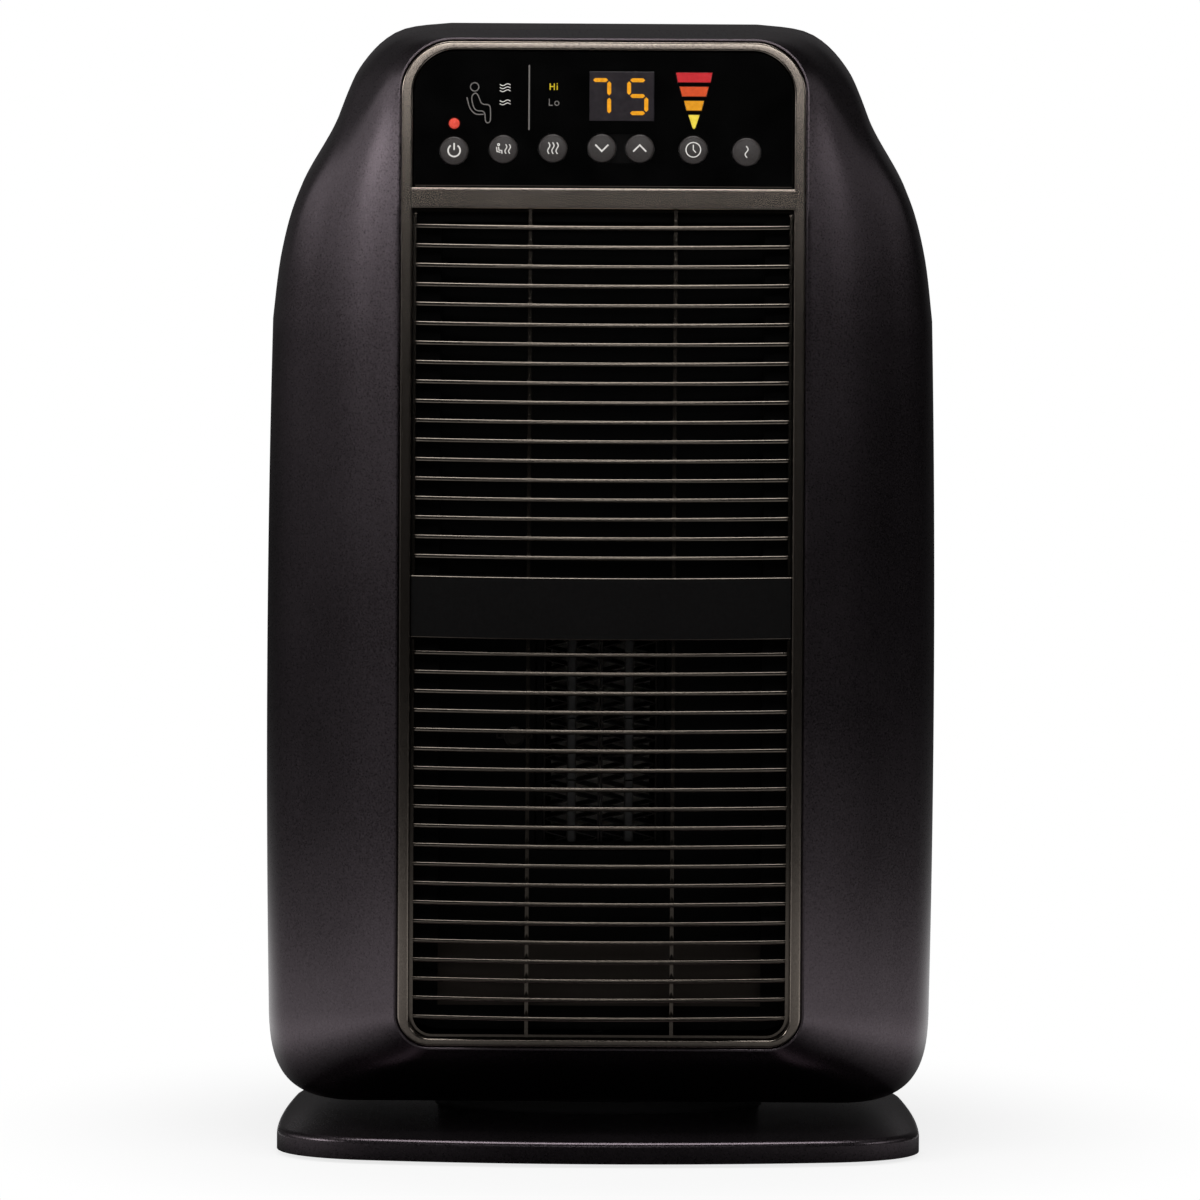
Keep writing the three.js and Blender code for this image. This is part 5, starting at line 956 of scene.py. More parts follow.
def key_mark(name, x, up):
    """The lines of the mark on one key, as (points, closed)."""
    if name == "power_button":
        return [(arc(x, up, 2.3, -235, 55, 34), False), ([(x, up + 2.9), (x, up + 0.2)], False)]
    if name == "personal_mode_button":
        warmth = [(wave(x + side, up, 3.6, 0.35), False) for side in (1.0, 2.4)]
        return [*seat_mark(x - 0.9, up, 0.95), *warmth]
    if name == "room_mode_button":
        return [(wave(x + side, up, 4.4, 0.42), False) for side in (-1.6, 0, 1.6)]
    if name == "temperature_down_button":
        return [([(x - 2.5, up + 1.3), (x, up - 1.2), (x + 2.5, up + 1.3)], False)]
    if name == "temperature_up_button":
        return [([(x - 2.5, up - 1.2), (x, up + 1.3), (x + 2.5, up - 1.2)], False)]
    if name == "timer_button":
        hands = [([(x, up + 1.9), (x, up), (x + 1.0, up - 1.1)], False)]
        return [(circle(x, up, 2.8, 44), True), *hands]
    return [(wave(x, up, 4.4, 0.55), False)]


key_prints = {}
for name, x in KEYS.items():
    up = key_height(x)
    depth_at = lambda a, b, x=x, up=up: key_dome(math.hypot(a - x, b - up))
    line_width = 0.6 if "temperature" in name or name == "power_button" else 0.4
    lines = [ribbon(points, line_width, depth_at, closed) for points, closed in key_mark(name, x, up)]
    key_prints[name] = on_panel(gathered(lines))
print("marks on", len(key_prints), "keys")

# %% Marks on the panel
def flat_lens(a, b):
    return LENS_FRONT


def softened(points, closed=False):
    """The same line with its corners cut twice, which rounds them."""
    for _ in range(2):
        points = np.array(points, float)
        after = np.roll(points, -1, 0)
        near, far = mix(points, after, 0.25), mix(points, after, 0.75)
        if closed:
            points = np.stack([near, far], 1).reshape(-1, 2)
        else:
            points = np.vstack([points[:1], np.stack([near, far], 1)[:-1].reshape(-1, 2), points[-1:]])
    return points


BOLD, FINE = 0.42, 0.28
FIGURE_BODY = [
    (-49.5, 10.0), (-50.8, 8.6), (-50.0, 4.7), (-48.8, 3.1), (-45.5, 3.1), (-45.4, -0.4), (-44.9, -1.4),
    (-43.9, -1.4), (-43.3, -0.4), (-43.4, 4.8), (-44.2, 5.6), (-46.8, 5.6), (-47.8, 8.3), (-48.5, 9.7),
]
FIGURE_SEAT = [(-52.4, 8.3), (-51.5, 4.4), (-50.0, 2.5), (-48.7, 1.7), (-46.0, 1.8)]
grey_lines = [
    ribbon([(-28.6, -4.1), (-28.6, 20.8)], 0.55, flat_lens),
    ribbon(circle(-49.5, 12.3, 1.6, 32), BOLD, flat_lens, closed=True),
    ribbon(softened(FIGURE_BODY, closed=True), BOLD, flat_lens, closed=True),
    ribbon(softened(FIGURE_SEAT), BOLD, flat_lens),
]
low_letters = [
    ribbon([(-20.9, 7.9), (-20.9, 5.4), (-19.5, 5.4)], 0.36, flat_lens),
    ribbon(circle(-18.0, 6.2, 0.8, 24), 0.36, flat_lens, closed=True),
]
waves = [wave(-37.8, up, 4.1, 0.38, upright=False) for up in (13.2, 12.05, 10.9, 7.0, 5.85)]
white_lines = [ribbon(points, FINE, flat_lens) for points in waves]
high_letters = [
    ribbon([(-20.6, 11.3), (-20.6, 13.8)], BOLD, flat_lens),
    ribbon([(-19.0, 11.3), (-19.0, 13.8)], BOLD, flat_lens),
    ribbon([(-20.4, 12.6), (-19.2, 12.6)], 0.4, flat_lens),
    ribbon([(-17.9, 11.3), (-17.9, 13.05)], BOLD, flat_lens),
    ribbon([(-17.9, 13.45), (-17.9, 13.85)], BOLD, flat_lens),
]
grey_print = on_panel(gathered([*grey_lines, *low_letters]))
white_print = on_panel(gathered(white_lines))
amber_print = on_panel(gathered(high_letters))
for form in (grey_print, white_print, amber_print):
    told("panel print", form)

# %% [markdown]
# ## The display, the lamp and the timer lights
# Behind a smoked window sit two seven-bar figures. The bars are drawn as thin raised plates with pointed
# ends, as light pipes in a display block have. The power lamp is a domed lens, and the timer shows its
# hours with three tapering bars over a pointer, from red down to yellow.

# %% Figures of the display
FIGURE_BARS = {
    "top": ((0, 1), (1, 1)),
    "middle": ((0, 0.52), (1, 0.52)),
    "foot": ((0, 0), (1, 0)),
    "upper_left": ((0, 0.52), (0, 1)),
    "upper_right": ((1, 0.52), (1, 1)),
    "lower_right": ((1, 0), (1, 0.52)),
}
FIGURES = {
    "7": ("top", "upper_right", "lower_right"),
    "5": ("top", "upper_left", "middle", "lower_right", "foot"),
}


def figure_bar(start, end, left, bottom, width, height, thickness=1.5, gap=0.45):
    """One bar of a figure, with pointed ends, a small gap away from its neighbours."""
    start, end = (np.array([left + a * width, bottom + b * height]) for a, b in (start, end))
    along = (end - start) / np.linalg.norm(end - start)
    side = along[::-1] * [-1, 1] * thickness / 2
    tip, shoulder_at = along * gap, along * (gap + thickness / 2)
    near, far = start + shoulder_at, end - shoulder_at
    outline = [start + tip, near - side, far - side, end - tip, far + side, near + side]
    return prism(outline, frontal, LENS_FRONT - 0.06, LENS_FRONT + 0.3)


FIGURE_WIDTH, FIGURE_TOP = 6.6, 15.2
figure_forms = []
for figure, left, foot in (("7", -4.6, 2.0), ("5", 9.6, 2.6)):
    size = (left, foot, FIGURE_WIDTH, FIGURE_TOP - foot)
    figure_forms += [figure_bar(*FIGURE_BARS[bar], *size) for bar in FIGURES[figure]]
figures = on_panel(gathered(figure_forms))
filter_front = block(*display_box(0, LENS_FRONT, 4.4), soft=0.2)
filter_form = on_panel(united(filter_front, block(*display_box(1.6, FLANGE_FRONT, 5.1))))
told("display figures", figures)

# %% Lamp and timer lights
LAMP_RADIUS, LAMP_DOME = 1.9, 0.8
lamp_dome = []
for a in quarter(10):
    lamp_dome.append((LAMP_RADIUS * math.sin(a), LENS_FRONT + 0.3 - LAMP_DOME * math.cos(a)))
lamp_flange = [(LAMP_RADIUS, FLANGE_FRONT), (3.7, FLANGE_FRONT), (3.7, 5.1), (2.1, 5.1)]
LAMP_PROFILE = [*lamp_dome, *lamp_flange, (2.1, BOARD_FRONT), (0, BOARD_FRONT)]
lamp_form = on_panel(turned(LAMP_PROFILE, 48, (LAMP[0], 0, LAMP[1]), "Y"))
shapes = [bar_outline(size, 0) for size in TIMER_BARS] + [pointer_outline(0)]
guide_parts = [prism(shape, frontal, LENS_FRONT, 4.7) for shape in shapes]
guide_plate = block((24.5, 44.6), (FLANGE_FRONT, 5.7), (-4.7, 21.2))
guide_legs = [block((x - 1, x + 1), (4.7, BOARD_FRONT), (14.6, 18.2)) for x in (27.55, 41.55)]
print("display, lamp and", len(guide_parts), "timer lights")

# %% [markdown]
# ## Finishes
# Each finish starts from the real material: moulded ABS, paint, acrylic, aluminium. A surface that is one
# flat number looks like a computer model, so every finish varies a little in colour, gloss and relief at
# the size of its real grain. One recipe mixes these from noise; the values given to it are what make one
# material differ from another.

# %% Colours and nodes
def linear(code):
    """An sRGB hex colour as linear light, with full opacity."""
    parts = [int(code[i : i + 2], 16) / 255 for i in (1, 3, 5)]
    return [*[c / 12.92 if c <= 0.04045 else ((c + 0.055) / 1.055) ** 2.4 for c in parts], 1.0]


def add(tree, kind, values=None, links=None, **settings):
    """One node with its settings, the values on its sockets and the links into it.

    A link comes from a socket, or from a node, which then gives its first output.
    """
    node = tree.nodes.new("ShaderNode" + kind)
    for name, value in settings.items():
        setattr(node, name, value)
    for socket, value in (values or {}).items():
        node.inputs[socket].default_value = value
    for socket, source in (links or {}).items():
        from_socket = source if isinstance(source, bpy.types.NodeSocket) else source.outputs[0]
        tree.links.new(from_socket, node.inputs[socket])
    return node


SMOOTH = {"interpolation_type": "SMOOTHSTEP"}


def cleared(owner):
    """The node tree of a material or a world, emptied."""
    owner.use_nodes = True
    owner.node_tree.nodes.clear()
    return owner.node_tree


# %% The recipe
BROAD_GRAIN = 45


def finish(name, dark, light, grain, rough, relief, stretch=(1, 1, 1), **shader):
    """A surface whose colour, gloss and relief vary at the size of its grain, in millimetres."""
    material = bpy.data.materials.new(name)
    tree = cleared(material)
    place = add(tree, "TexCoord")
    sized = add(tree, "Mapping", {"Scale": stretch}, {"Vector": place.outputs["Object"]})
    fine_values = {"Scale": 1 / (grain * mm), "Detail": 2.0, "Roughness": 0.6}
    fine = add(tree, "TexNoise", fine_values, {"Vector": sized})
    broad_values = {"Scale": 1 / (BROAD_GRAIN * mm), "Detail": 2.0}
    broad = add(tree, "TexNoise", broad_values, {"Vector": sized})
    both = add(tree, "Math", {1: 0.2}, {0: broad}, operation="MULTIPLY")
    mixed = add(tree, "Math", {1: 0.8}, {0: fine, 2: both}, operation="MULTIPLY_ADD")
    tint = add(tree, "ValToRGB", None, {"Fac": mixed})
    first, last = tint.color_ramp.elements
    first.position, first.color = 0.34, linear(dark)
    last.position, last.color = 0.66, linear(light)
    gloss_values = {"From Min": 0.3, "From Max": 0.7, "To Min": rough[0], "To Max": rough[1]}
    gloss = add(tree, "MapRange", gloss_values, {"Value": mixed})
    bump = add(tree, "Bump", {"Strength": 1.0, "Distance": relief * mm}, {"Height": fine})
    links = {"Base Color": tint, "Roughness": gloss, "Normal": bump}
    coat = add(tree, "BsdfPrincipled", shader, links)
    add(tree, "OutputMaterial", None, {"Surface": coat})
    return material


# %% Body, trim and panel
# Moulded ABS with a satin metallic coat in charcoal: dark where it mirrors the room, soft bright patches
# where it mirrors a lamp, and a fine fleck. The real fleck is about 0.1 mm; it is drawn at 0.7 mm, the
# finest that shows at this distance.
body_finish = finish(
    "satin_charcoal_metallic_coat", "#4c4549", "#635b60", 0.7, (0.25, 0.34), 0.005, Metallic=1.0
)
# Warm grey paint with metal flake on ABS: it mirrors the lamps softly along its rounded edges.
trim_finish = finish(
    "warm_grey_metallic_paint", "#716962", "#958b82", 0.45, (0.18, 0.23), 0.0012, Metallic=1.0
)
# Gloss black cast acrylic: near black, with clear reflections and the faintest ripple from moulding.
lens_finish = finish("gloss_black_acrylic", "#020202", "#050505", 18, (0.03, 0.06), 0.006, IOR=1.49)
# Moulded ABS keys in warm grey, lightly satin, so their domes hold a soft highlight.
key_finish = finish(
    "satin_grey_abs_keys", "#302c2b", "#393534", 0.9, (0.34, 0.44), 0.008,
    **{"IOR": 1.53, "Specular IOR Level": 0.3},
)
# White pad-printing ink: thin, matt, a little uneven.
white_ink = finish(
    "white_printing_ink", "#cfccc8", "#e3e0dc", 0.8, (0.5, 0.6), 0.004,
    **{"IOR": 1.5, "Specular IOR Level": 0.2},
)
grey_ink = finish("grey_printing_ink", "#5f5b58", "#706b68", 0.8, (0.5, 0.6), 0.004, IOR=1.5)
# Smoked polycarbonate window: neutral grey, with a mild gloss.
window_finish = finish("smoked_polycarbonate", "#262326", "#2e2a2d", 2.5, (0.07, 0.1), 0.002, IOR=1.58)


# %% Things that glow
GLOW = 0.5


def shader_of(material):
    return next(node for node in material.node_tree.nodes if node.type == "BSDF_PRINCIPLED")


def glowing(name, dark, light):
    """A lit diffuser: the finish of moulded plastic, with light of its own colour coming through."""
    dull = {"IOR": 1.58, "Specular IOR Level": 0.1}
    material = finish(name, dark, light, 1.5, (0.25, 0.35), 0.004, **dull)
    shader = shader_of(material)
    shader.inputs["Emission Color"].default_value = linear(light)
    shader.inputs["Emission Strength"].default_value = GLOW
    return material


amber_light = glowing("amber_display_bar", "#a86a08", "#d18f10")
amber_ink = glowing("amber_lit_legend", "#8a7410", "#b09a18")
lamp_light = glowing("red_lamp_diffuser", "#a23428", "#c9483a")
timer_lights = [
    glowing("red_timer_diffuser", "#8f161c", "#a92026"),
    glowing("orange_timer_diffuser", "#9a3412", "#b5431c"),
    glowing("amber_timer_diffuser", "#a86c08", "#c08212"),
    glowing("yellow_timer_diffuser", "#b09c30", "#cbb83c"),
]

# %% Grille, band and inside
# Moulded ABS with a bronze metallic coat: its rounded noses draw the fine bright lines of the grille.
grille_finish = finish("bronze_metallic_coat", "#5a544d", "#766e66", 0.6, (0.13, 0.19), 0.002, Metallic=1.0)
# Spark-eroded matt ABS: the texture of the mould kills every reflection on the band.
band_finish = finish(
    "matt_black_textured_abs", "#060505", "#0c0b0b", 0.9, (0.7, 0.82), 0.03,
    **{"IOR": 1.5, "Specular IOR Level": 0.1},
)
# Black ABS of the back: moulded, matt, with a fine leather-like grain.
back_finish = finish("matt_black_moulded_abs", "#141213", "#1d1b1c", 0.8, (0.55, 0.68), 0.02, IOR=1.5)
# Glass-filled nylon near the heat: black and dull, with streaks of fibre a few millimetres long. Its black
# is darker than the real nylon: painted shade for the dark inside of the heater.
hot_nylon_painted_light_and_shade = finish(
    "glass_filled_nylon_painted_light_and_shade", "#040404", "#080707", 1.2, (0.7, 0.85), 0.015, (1, 1, 0.3),
    **{"IOR": 1.53, "Specular IOR Level": 0.08},
)
# Fine dust settles on the faces that look up, most of all on the sloped floor of the duct. This lighter
# tone is also painted light: it stands for the light that falls on those faces.
tree = hot_nylon_painted_light_and_shade.node_tree
shader = shader_of(hot_nylon_painted_light_and_shade)
facing = add(tree, "SeparateXYZ", None, {0: add(tree, "NewGeometry").outputs["Normal"]})
upward = {"From Min": 0.25, "From Max": 0.7}
settled = add(tree, "MapRange", upward, {"Value": facing.outputs["Z"]}, **SMOOTH)
dust_and_light_grain = add(tree, "TexNoise", {"Scale": 1 / (3 * mm), "Detail": 3.0})
dust_and_light_tone = add(tree, "ValToRGB", None, {"Fac": dust_and_light_grain})
dust_and_light_tone.color_ramp.elements[0].color = linear("#24201d")
dust_and_light_tone.color_ramp.elements[1].color = linear("#3a342f")
clean = shader.inputs["Base Color"].links[0].from_socket
# Faces that look up get the lighter tone: dust, and painted light where light falls on them.
dusted_and_lit = add(tree, "Mix", None, {0: settled, 6: clean, 7: dust_and_light_tone}, data_type="RGBA")
tree.links.new(dusted_and_lit.outputs[2], shader.inputs["Base Color"])
# Rolled aluminium of the motor's brackets and the heat sink: bright, with fine rolling lines.
aluminium_finish = finish(
    "rolled_aluminium", "#a09f9b", "#b8b7b3", 0.7, (0.28, 0.42), 0.006, (1, 1, 5), Metallic=1.0
)
# The fins of the cores and the thermal cut-out: aluminium painted near black, as painted shade inside the
# heater.
fin_painted_shade_finish = finish("aluminium_painted_dark_as_shade", "#2b2928", "#403d3a", 0.9, (0.4, 0.55), 0.01, Metallic=1.0)
# PTC ceramic, fired barium titanate: a grey-brown stone that is quite rough, darkened further as painted
# shade.
ceramic_painted_shade_finish = finish("titanate_ceramic_painted_dark_as_shade", "#131110", "#1d1a17", 0.6, (0.6, 0.8), 0.02, IOR=1.9)
# Zinc-plated steel of the screws, shaft and spring.
steel_finish = finish("zinc_plated_steel", "#83868a", "#a3a6a9", 0.5, (0.26, 0.4), 0.005, Metallic=1.0)
# Silicon steel sheets of the motor, stacked 0.5 mm apart: seen as fine lines across the stack.
stack_finish = finish(
    "laminated_motor_steel", "#4d5054", "#74777b", 0.5, (0.35, 0.5), 0.03, (1, 0.05, 0.05), Metallic=1.0
)
# Enamelled copper winding, wire of 0.4 mm: fine ridges round the coil.
copper_finish = finish(
    "enamelled_copper_wire", "#7d3f1c", "#b1683a", 0.4, (0.25, 0.38), 0.04, (1, 0.1, 0.1), Metallic=1.0
)
# Nitrile rubber of the feet and gland: black, dry and soft, with a dusty bloom.
rubber_finish = finish("nitrile_rubber", "#141414", "#222122", 0.9, (0.75, 0.88), 0.02, IOR=1.52)
# Fibreglass circuit board with green solder resist: slightly glossy over the weave.
board_finish = finish("green_circuit_board", "#14462c", "#1f5f3d", 1.1, (0.32, 0.45), 0.01, IOR=1.55)
# Silicone sleeving of the wires, off white and satin.
sleeve_finish = finish("silicone_sleeving", "#c4beb1", "#ded8cb", 1.3, (0.45, 0.55), 0.01, IOR=1.41)
# Natural acetal of the wheel and plunger: milky white with a waxy gloss.
acetal_finish = finish("natural_acetal", "#cfccc4", "#e4e1da", 2.5, (0.3, 0.42), 0.006, IOR=1.48)
print(len(bpy.data.materials), "materials in all")

# %% [markdown]
# ## Putting the outside together
# With forms and finishes ready, each piece is named, given its finish and set to ride on its body. The keys
# ride on their own bodies, so each one can be pressed.

# %% Shells, base, trim and grille
skin(front_form, "front_shell", body_finish, "body_plastic")
skin(rear_form, "rear_shell", body_finish, "body_plastic")
base_skin = skin(base_form, "base_plate", [body_finish, back_finish], "body_plastic")
# The neck above the base plate is matt black.
for face in base_skin.data.polygons:
    face.material_index = 1 if face.center.z > (BASE_TOP + 0.05) * mm else 0
skin(trim_form, "trim_frame", trim_finish, "trim_paint")
skin(lower_form, "lower_grille", grille_finish, "grille_plastic", crisp=40)
skin(upper_form, "upper_grille", grille_finish, "grille_plastic", crisp=40)
band_skin = skin(band_form, "centre_band", [band_finish, grille_finish], "matte_black")
# The rounded front edges of the band have the coat of the grille.
for face in band_skin.data.polygons:
    face.material_index = 1 if face.normal.y < -0.1 and abs(face.normal.z) > 0.4 else 0

# %% Panel, keys and lights
lens_skin = skin(lens_form, "control_lens", [lens_finish, band_finish], "gloss_black")
# The recess that joins the two temperature keys is matt.
for face in lens_skin.data.polygons:
    depth = (panel.inverted() @ face.center).y / mm
    face.material_index = 1 if abs(depth - LENS_FRONT - 1) < 0.02 else 0
piece(grey_print, "panel_print_grey", grey_ink, "button_plastic")
piece(white_print, "panel_print_white", white_ink, "button_plastic")
piece(amber_print, "panel_legend_lit", amber_ink, "light_guide")
for name, form in cap_forms.items():
    piece(form, f"{name}_cap", key_finish, "button_plastic", [name], body=name)
    piece(key_prints[name], f"{name}_mark", white_ink, "button_plastic", body=name)
piece(filter_form, "display_window_skin", window_finish, "display_tint", ["display_filter"])
piece(figures, "display_figures", amber_light, "light_guide")
skin(lamp_form, "power_lamp", lamp_light, "red_lamp")
guide_form = on_panel(united(guide_plate, *guide_legs))
piece(guide_form, "timer_guide_plate", acetal_finish, "light_guide", ["timer_light_guide"])
labels = ["timer_light_1", "timer_light_2", "timer_light_3", "timer_light_4"]
for part, light, label in zip(guide_parts, timer_lights, labels):
    piece(on_panel(part), label, light, "light_guide")

# %% [markdown]
# ## Back and underside
# The photograph shows only the front. The back follows what a fan heater of this kind needs: a louvred
# intake over the blower, deep wells for the long case screws, a rubber gland for the cord, and under the
# base a cover plate with four rubber feet. The slots of the intake get a small chamfer, as the mould
# leaves, so that each slot catches a line of light.

# %% Rear intake grille
def slot_outline(left, right, middle, radius):
    """A slot with round ends."""
    right_end = arc(right - radius, middle, radius, -90, 90, 10)
    return np.vstack([right_end, arc(left + radius, middle, radius, 90, 270, 10)])


SLOT_PITCH, SLOT_RADIUS, SLOT_WIDTH, COLUMN_GAP, FIRST_SLOT = 16.575, 3.25, 69.2, 5, 107.3
PLATE_FRONT, PLATE_BACK = 75.7, 79.2
plate_width, plate_height = (-INTAKE_HALF + GAP, INTAKE_HALF - GAP), (INTAKE_BOTTOM + GAP, INTAKE_TOP - GAP)
plate = block(plate_width, (PLATE_FRONT, PLATE_BACK), plate_height, soft=0.7)
flange = block((-84, 84), (PLATE_FRONT, 77.2), (95, 325), soft=0.4)
slot_cutters = []
for left in (-SLOT_WIDTH - COLUMN_GAP / 2, COLUMN_GAP / 2):
    for row in range(13):
        middle_height = FIRST_SLOT + SLOT_RADIUS + row * SLOT_PITCH
        rings = []
        for grow, depth in ((0.5, 79.5), (0.5, PLATE_BACK), (0, 78.7), (0, 75)):
            outline = slot_outline(left - grow, left + SLOT_WIDTH + grow, middle_height, SLOT_RADIUS + grow)
            rings.append(np.column_stack([outline[:, 0], np.full(len(outline), depth), outline[:, 1]]))
        slot_cutters.append(loft(rings))
intake_form = cut(united(plate, flange), gathered(slot_cutters))
skin(intake_form, "intake_grille", back_finish, "matte_black")

# %% Cord gland
gland_profile = [
    (4, 75), (7.5, 75), (8.5, 76.2), (8.5, 77.2), (7.5, 77.2), (7.5, 80.3), (9.6, 80.3),
    (9.9, 80.6), (9.2, 82.3), (8.7, 82.8), (4.5, 82.8), (4, 82.3), (4, 75),
]
gland_form = turned(gland_profile, 64, (GLAND[0], 0, GLAND[1]), "Y")
skin(gland_form, "cord_gland", rubber_finish, "rubber")


# %% Case screws with a cross recess and a thread
def case_screw(length):
    """A pan-head tapping screw: its head starts at the origin and its tip points up."""
    root, crest, step = 1.45, 0.4, 0.5
    thread = [(root + crest * (i % 2), 3.2 + step * i) for i in range(int((length - 3) / step))]
    head = [(0, 0), (2.4, 0), (3.2, 0.35), (3.6, 1.1), (3.6, 2.2), (root, 2.2)]
    profile = [*head, *thread, (root, length + 0.6), (0, length + 2.2)]
    long, narrow, deep = (-1.9, 1.9), (-0.4, 0.4), (-1, 1.3)
    return cut(turned(profile, 32), united(block(long, narrow, deep), block(narrow, long, deep)))


BASE_SCREW_LENGTH, SHELL_SCREW_LENGTH = 18, 28
for number, (x, y) in enumerate(BASE_SCREWS, 1):
    screw = case_screw(BASE_SCREW_LENGTH)
    screw.data.transform(Matrix.Translation(Vector((x, y, 5.2)) * mm))
    skin(screw, f"base_screw_{number}", steel_finish, "steel")
for number, (x, z) in enumerate(WELLS, 1):
    screw = case_screw(SHELL_SCREW_LENGTH)
    head_at = Matrix.Translation(Vector((x, 4.5, z)) * mm)
    screw.data.transform(head_at @ Matrix.Rotation(math.pi / 2, 4, "X"))
    skin(screw, f"shell_screw_{number}", steel_finish, "steel")

# %% Base cover
FEET = [(-88, -62), (88, -62), (-84, 62), (84, 62)]
cover_form = loft([base_ring(2.9, 1.5), base_ring(2.6, 1.8), base_ring(2.6, 4.1)])
cover_ribs = [block((x - 1.15, x + 1.15), (-19, 47), (2.8, 7.4)) for x in (-62, 62)]
cover_holes = rods_up(4.2, 0, 9, 32, BASE_SCREWS)
cover_holes.append(rod(4.6, 0, 9, 32, (0, NECK_Y, 0)))
cover_holes += rods_up(9.3, 0, 2.5, 48, FEET)
cover_form = cut(united(cover_form, gathered(cover_ribs)), gathered(cover_holes))
skin(cover_form, "base_cover", back_finish, "matte_black")

# %% Rubber feet with rings that grip
foot_profile = [
    (0, 0.35), (2.4, 0.35), (2.6, 0), (4.2, 0), (4.4, 0.35), (5, 0.35), (5.2, 0), (6.8, 0),
    (7, 0.35), (7.4, 0.35), (7.6, 0), (8.5, 0), (9, 0.5), (9, 2.2), (0, 2.2),
]
for number, (x, y) in enumerate(FEET, 1):
    foot = turned(foot_profile, 64, (x, y, 0))
    skin(foot, f"rubber_foot_{number}", rubber_finish, "rubber")

# %% [markdown]
# ## Heating cores
# Behind the lower grille stand two ceramic cores. Each has a column of ceramic tiles between two folded
# aluminium strips, held by outer plates, and air is blown through the folds. The frame has coarse folds,
# and here they are as fine as on the real core, with a fold every 2.4 mm, along a rounded zigzag.

# %% Folded strip
CORE_DEPTH, CORE_RISE = (-44, -30), (119, 215)


def folded_strip(left, right, low, high, folds, thickness=0.3):
    """An aluminium strip folded between two x positions, rising from low to high."""
    share = np.linspace(0, 1, folds * 12 + 1)
    swing = np.arcsin(0.97 * np.sin(math.pi * folds * share)) / math.asin(0.97)
    x = (left + right) / 2 + (right - left - thickness) / 2 * swing
    z = low + (high - low) * share
    across = np.column_stack([-np.gradient(z), np.gradient(x)])
    across *= thickness / 2 / np.linalg.norm(across, axis=1)[:, None]
    rings = []
    near, far = CORE_DEPTH
    for px, pz, (dx, dz) in zip(x, z, across):
        a, b, c, d = px + dx, pz + dz, px - dx, pz - dz
        rings.append([(a, near, b), (c, near, d), (c, far, d), (a, far, b)])
    return loft(rings)


# %% Both cores
OUTER_PLATES, INNER_PLATES = ((-10.85, -10.05), (10.05, 10.85)), ((-1.8, -1.45), (1.45, 1.8))
STRIPS, FOLDS, TILE_PITCH = ((-10.1, -1.75), (1.75, 10.1)), 40, 24
for side, offset in (("left", -11.0), ("right", 11.0)):
    metal = [block((offset + a, offset + b), CORE_DEPTH, CORE_RISE, soft=0.15) for a, b in OUTER_PLATES]
    metal += [block((offset + a, offset + b), CORE_DEPTH, CORE_RISE) for a, b in INNER_PLATES]
    metal += [folded_strip(offset + a, offset + b, 119.6, 214.4, FOLDS) for a, b in STRIPS]
    piece(gathered(metal), f"ceramic_core_{side}_fins", fin_painted_shade_finish, "aluminium", [f"ceramic_core_{side}"])
    tiles = []
    for i in range(4):
        tile_rise = (119.2 + TILE_PITCH * i, 142.8 + TILE_PITCH * i)
        tiles.append(block((offset - 1.4, offset + 1.4), (-43.6, -30.4), tile_rise, soft=0.2))
    piece(gathered(tiles), f"ceramic_core_{side}_tiles", ceramic_painted_shade_finish, "heat_plastic")

# %% Thermal cut-out
CUTOUT_HEIGHT = 160.5
can_front = [(0, -51.3), (2.9, -51.3), (3.2, -51.1), (3.2, -50.2), (3.9, -49.9), (4, -49.6)]
can = turned([*can_front, (4, -46.3), (0, -46.3)], 48, (-33, 0, CUTOUT_HEIGHT), "Y")
tabs = block((-40, -26), (-47.2, -46.6), (159.3, 161.7), soft=0.15)
eyes = rods_back(0.7, -50, -45, 20, [(-38.6, CUTOUT_HEIGHT), (-27.4, CUTOUT_HEIGHT)])
skin(united(can, cut(tabs, gathered(eyes))), "thermal_cutout", fin_painted_shade_finish, "steel")

# %% [markdown]
# ## Pieces of the frame that keep their shape
# The solids inside the heater already have the right shape. They stay as they are and only get their
# finish, which is put in the material slot of each object.

# %% Finishes for the solids
kept = {
    hot_nylon_painted_light_and_shade: ["outlet_duct", "heater_frame"],
    back_finish: ["display_module", "blower_housing", "tip_guide", "tip_micro_switch", "room_sensor"],
    board_finish: ["control_board", "power_board"],
    aluminium_finish: ["motor_front_bracket", "motor_rear_bracket", "heat_sink"],
    stack_finish: ["motor_stack", "motor_rotor"],
    steel_finish: ["motor_shaft", "tip_spring"],
    copper_finish: ["motor_coil"],
    sleeve_finish: ["heater_lead_left", "heater_lead_right", "motor_lead", "control_cable"],
    acetal_finish: ["blower_wheel", "tip_plunger"],
}
for material, names in kept.items():
    for name in names:
        for slot in solids[name].material_slots:
            slot.material = material
print(sum(len(names) for names in kept.values()), "solids keep their shape")

# %% [markdown]
# ## Camera
# The photograph was taken from straight in front and a little above, with a long lens: the sides of the
# heater hardly converge. The camera stands 8 m away and looks down 6.5 degrees. The heater leans by a third
# of a degree in the picture, so the camera is rolled by that.

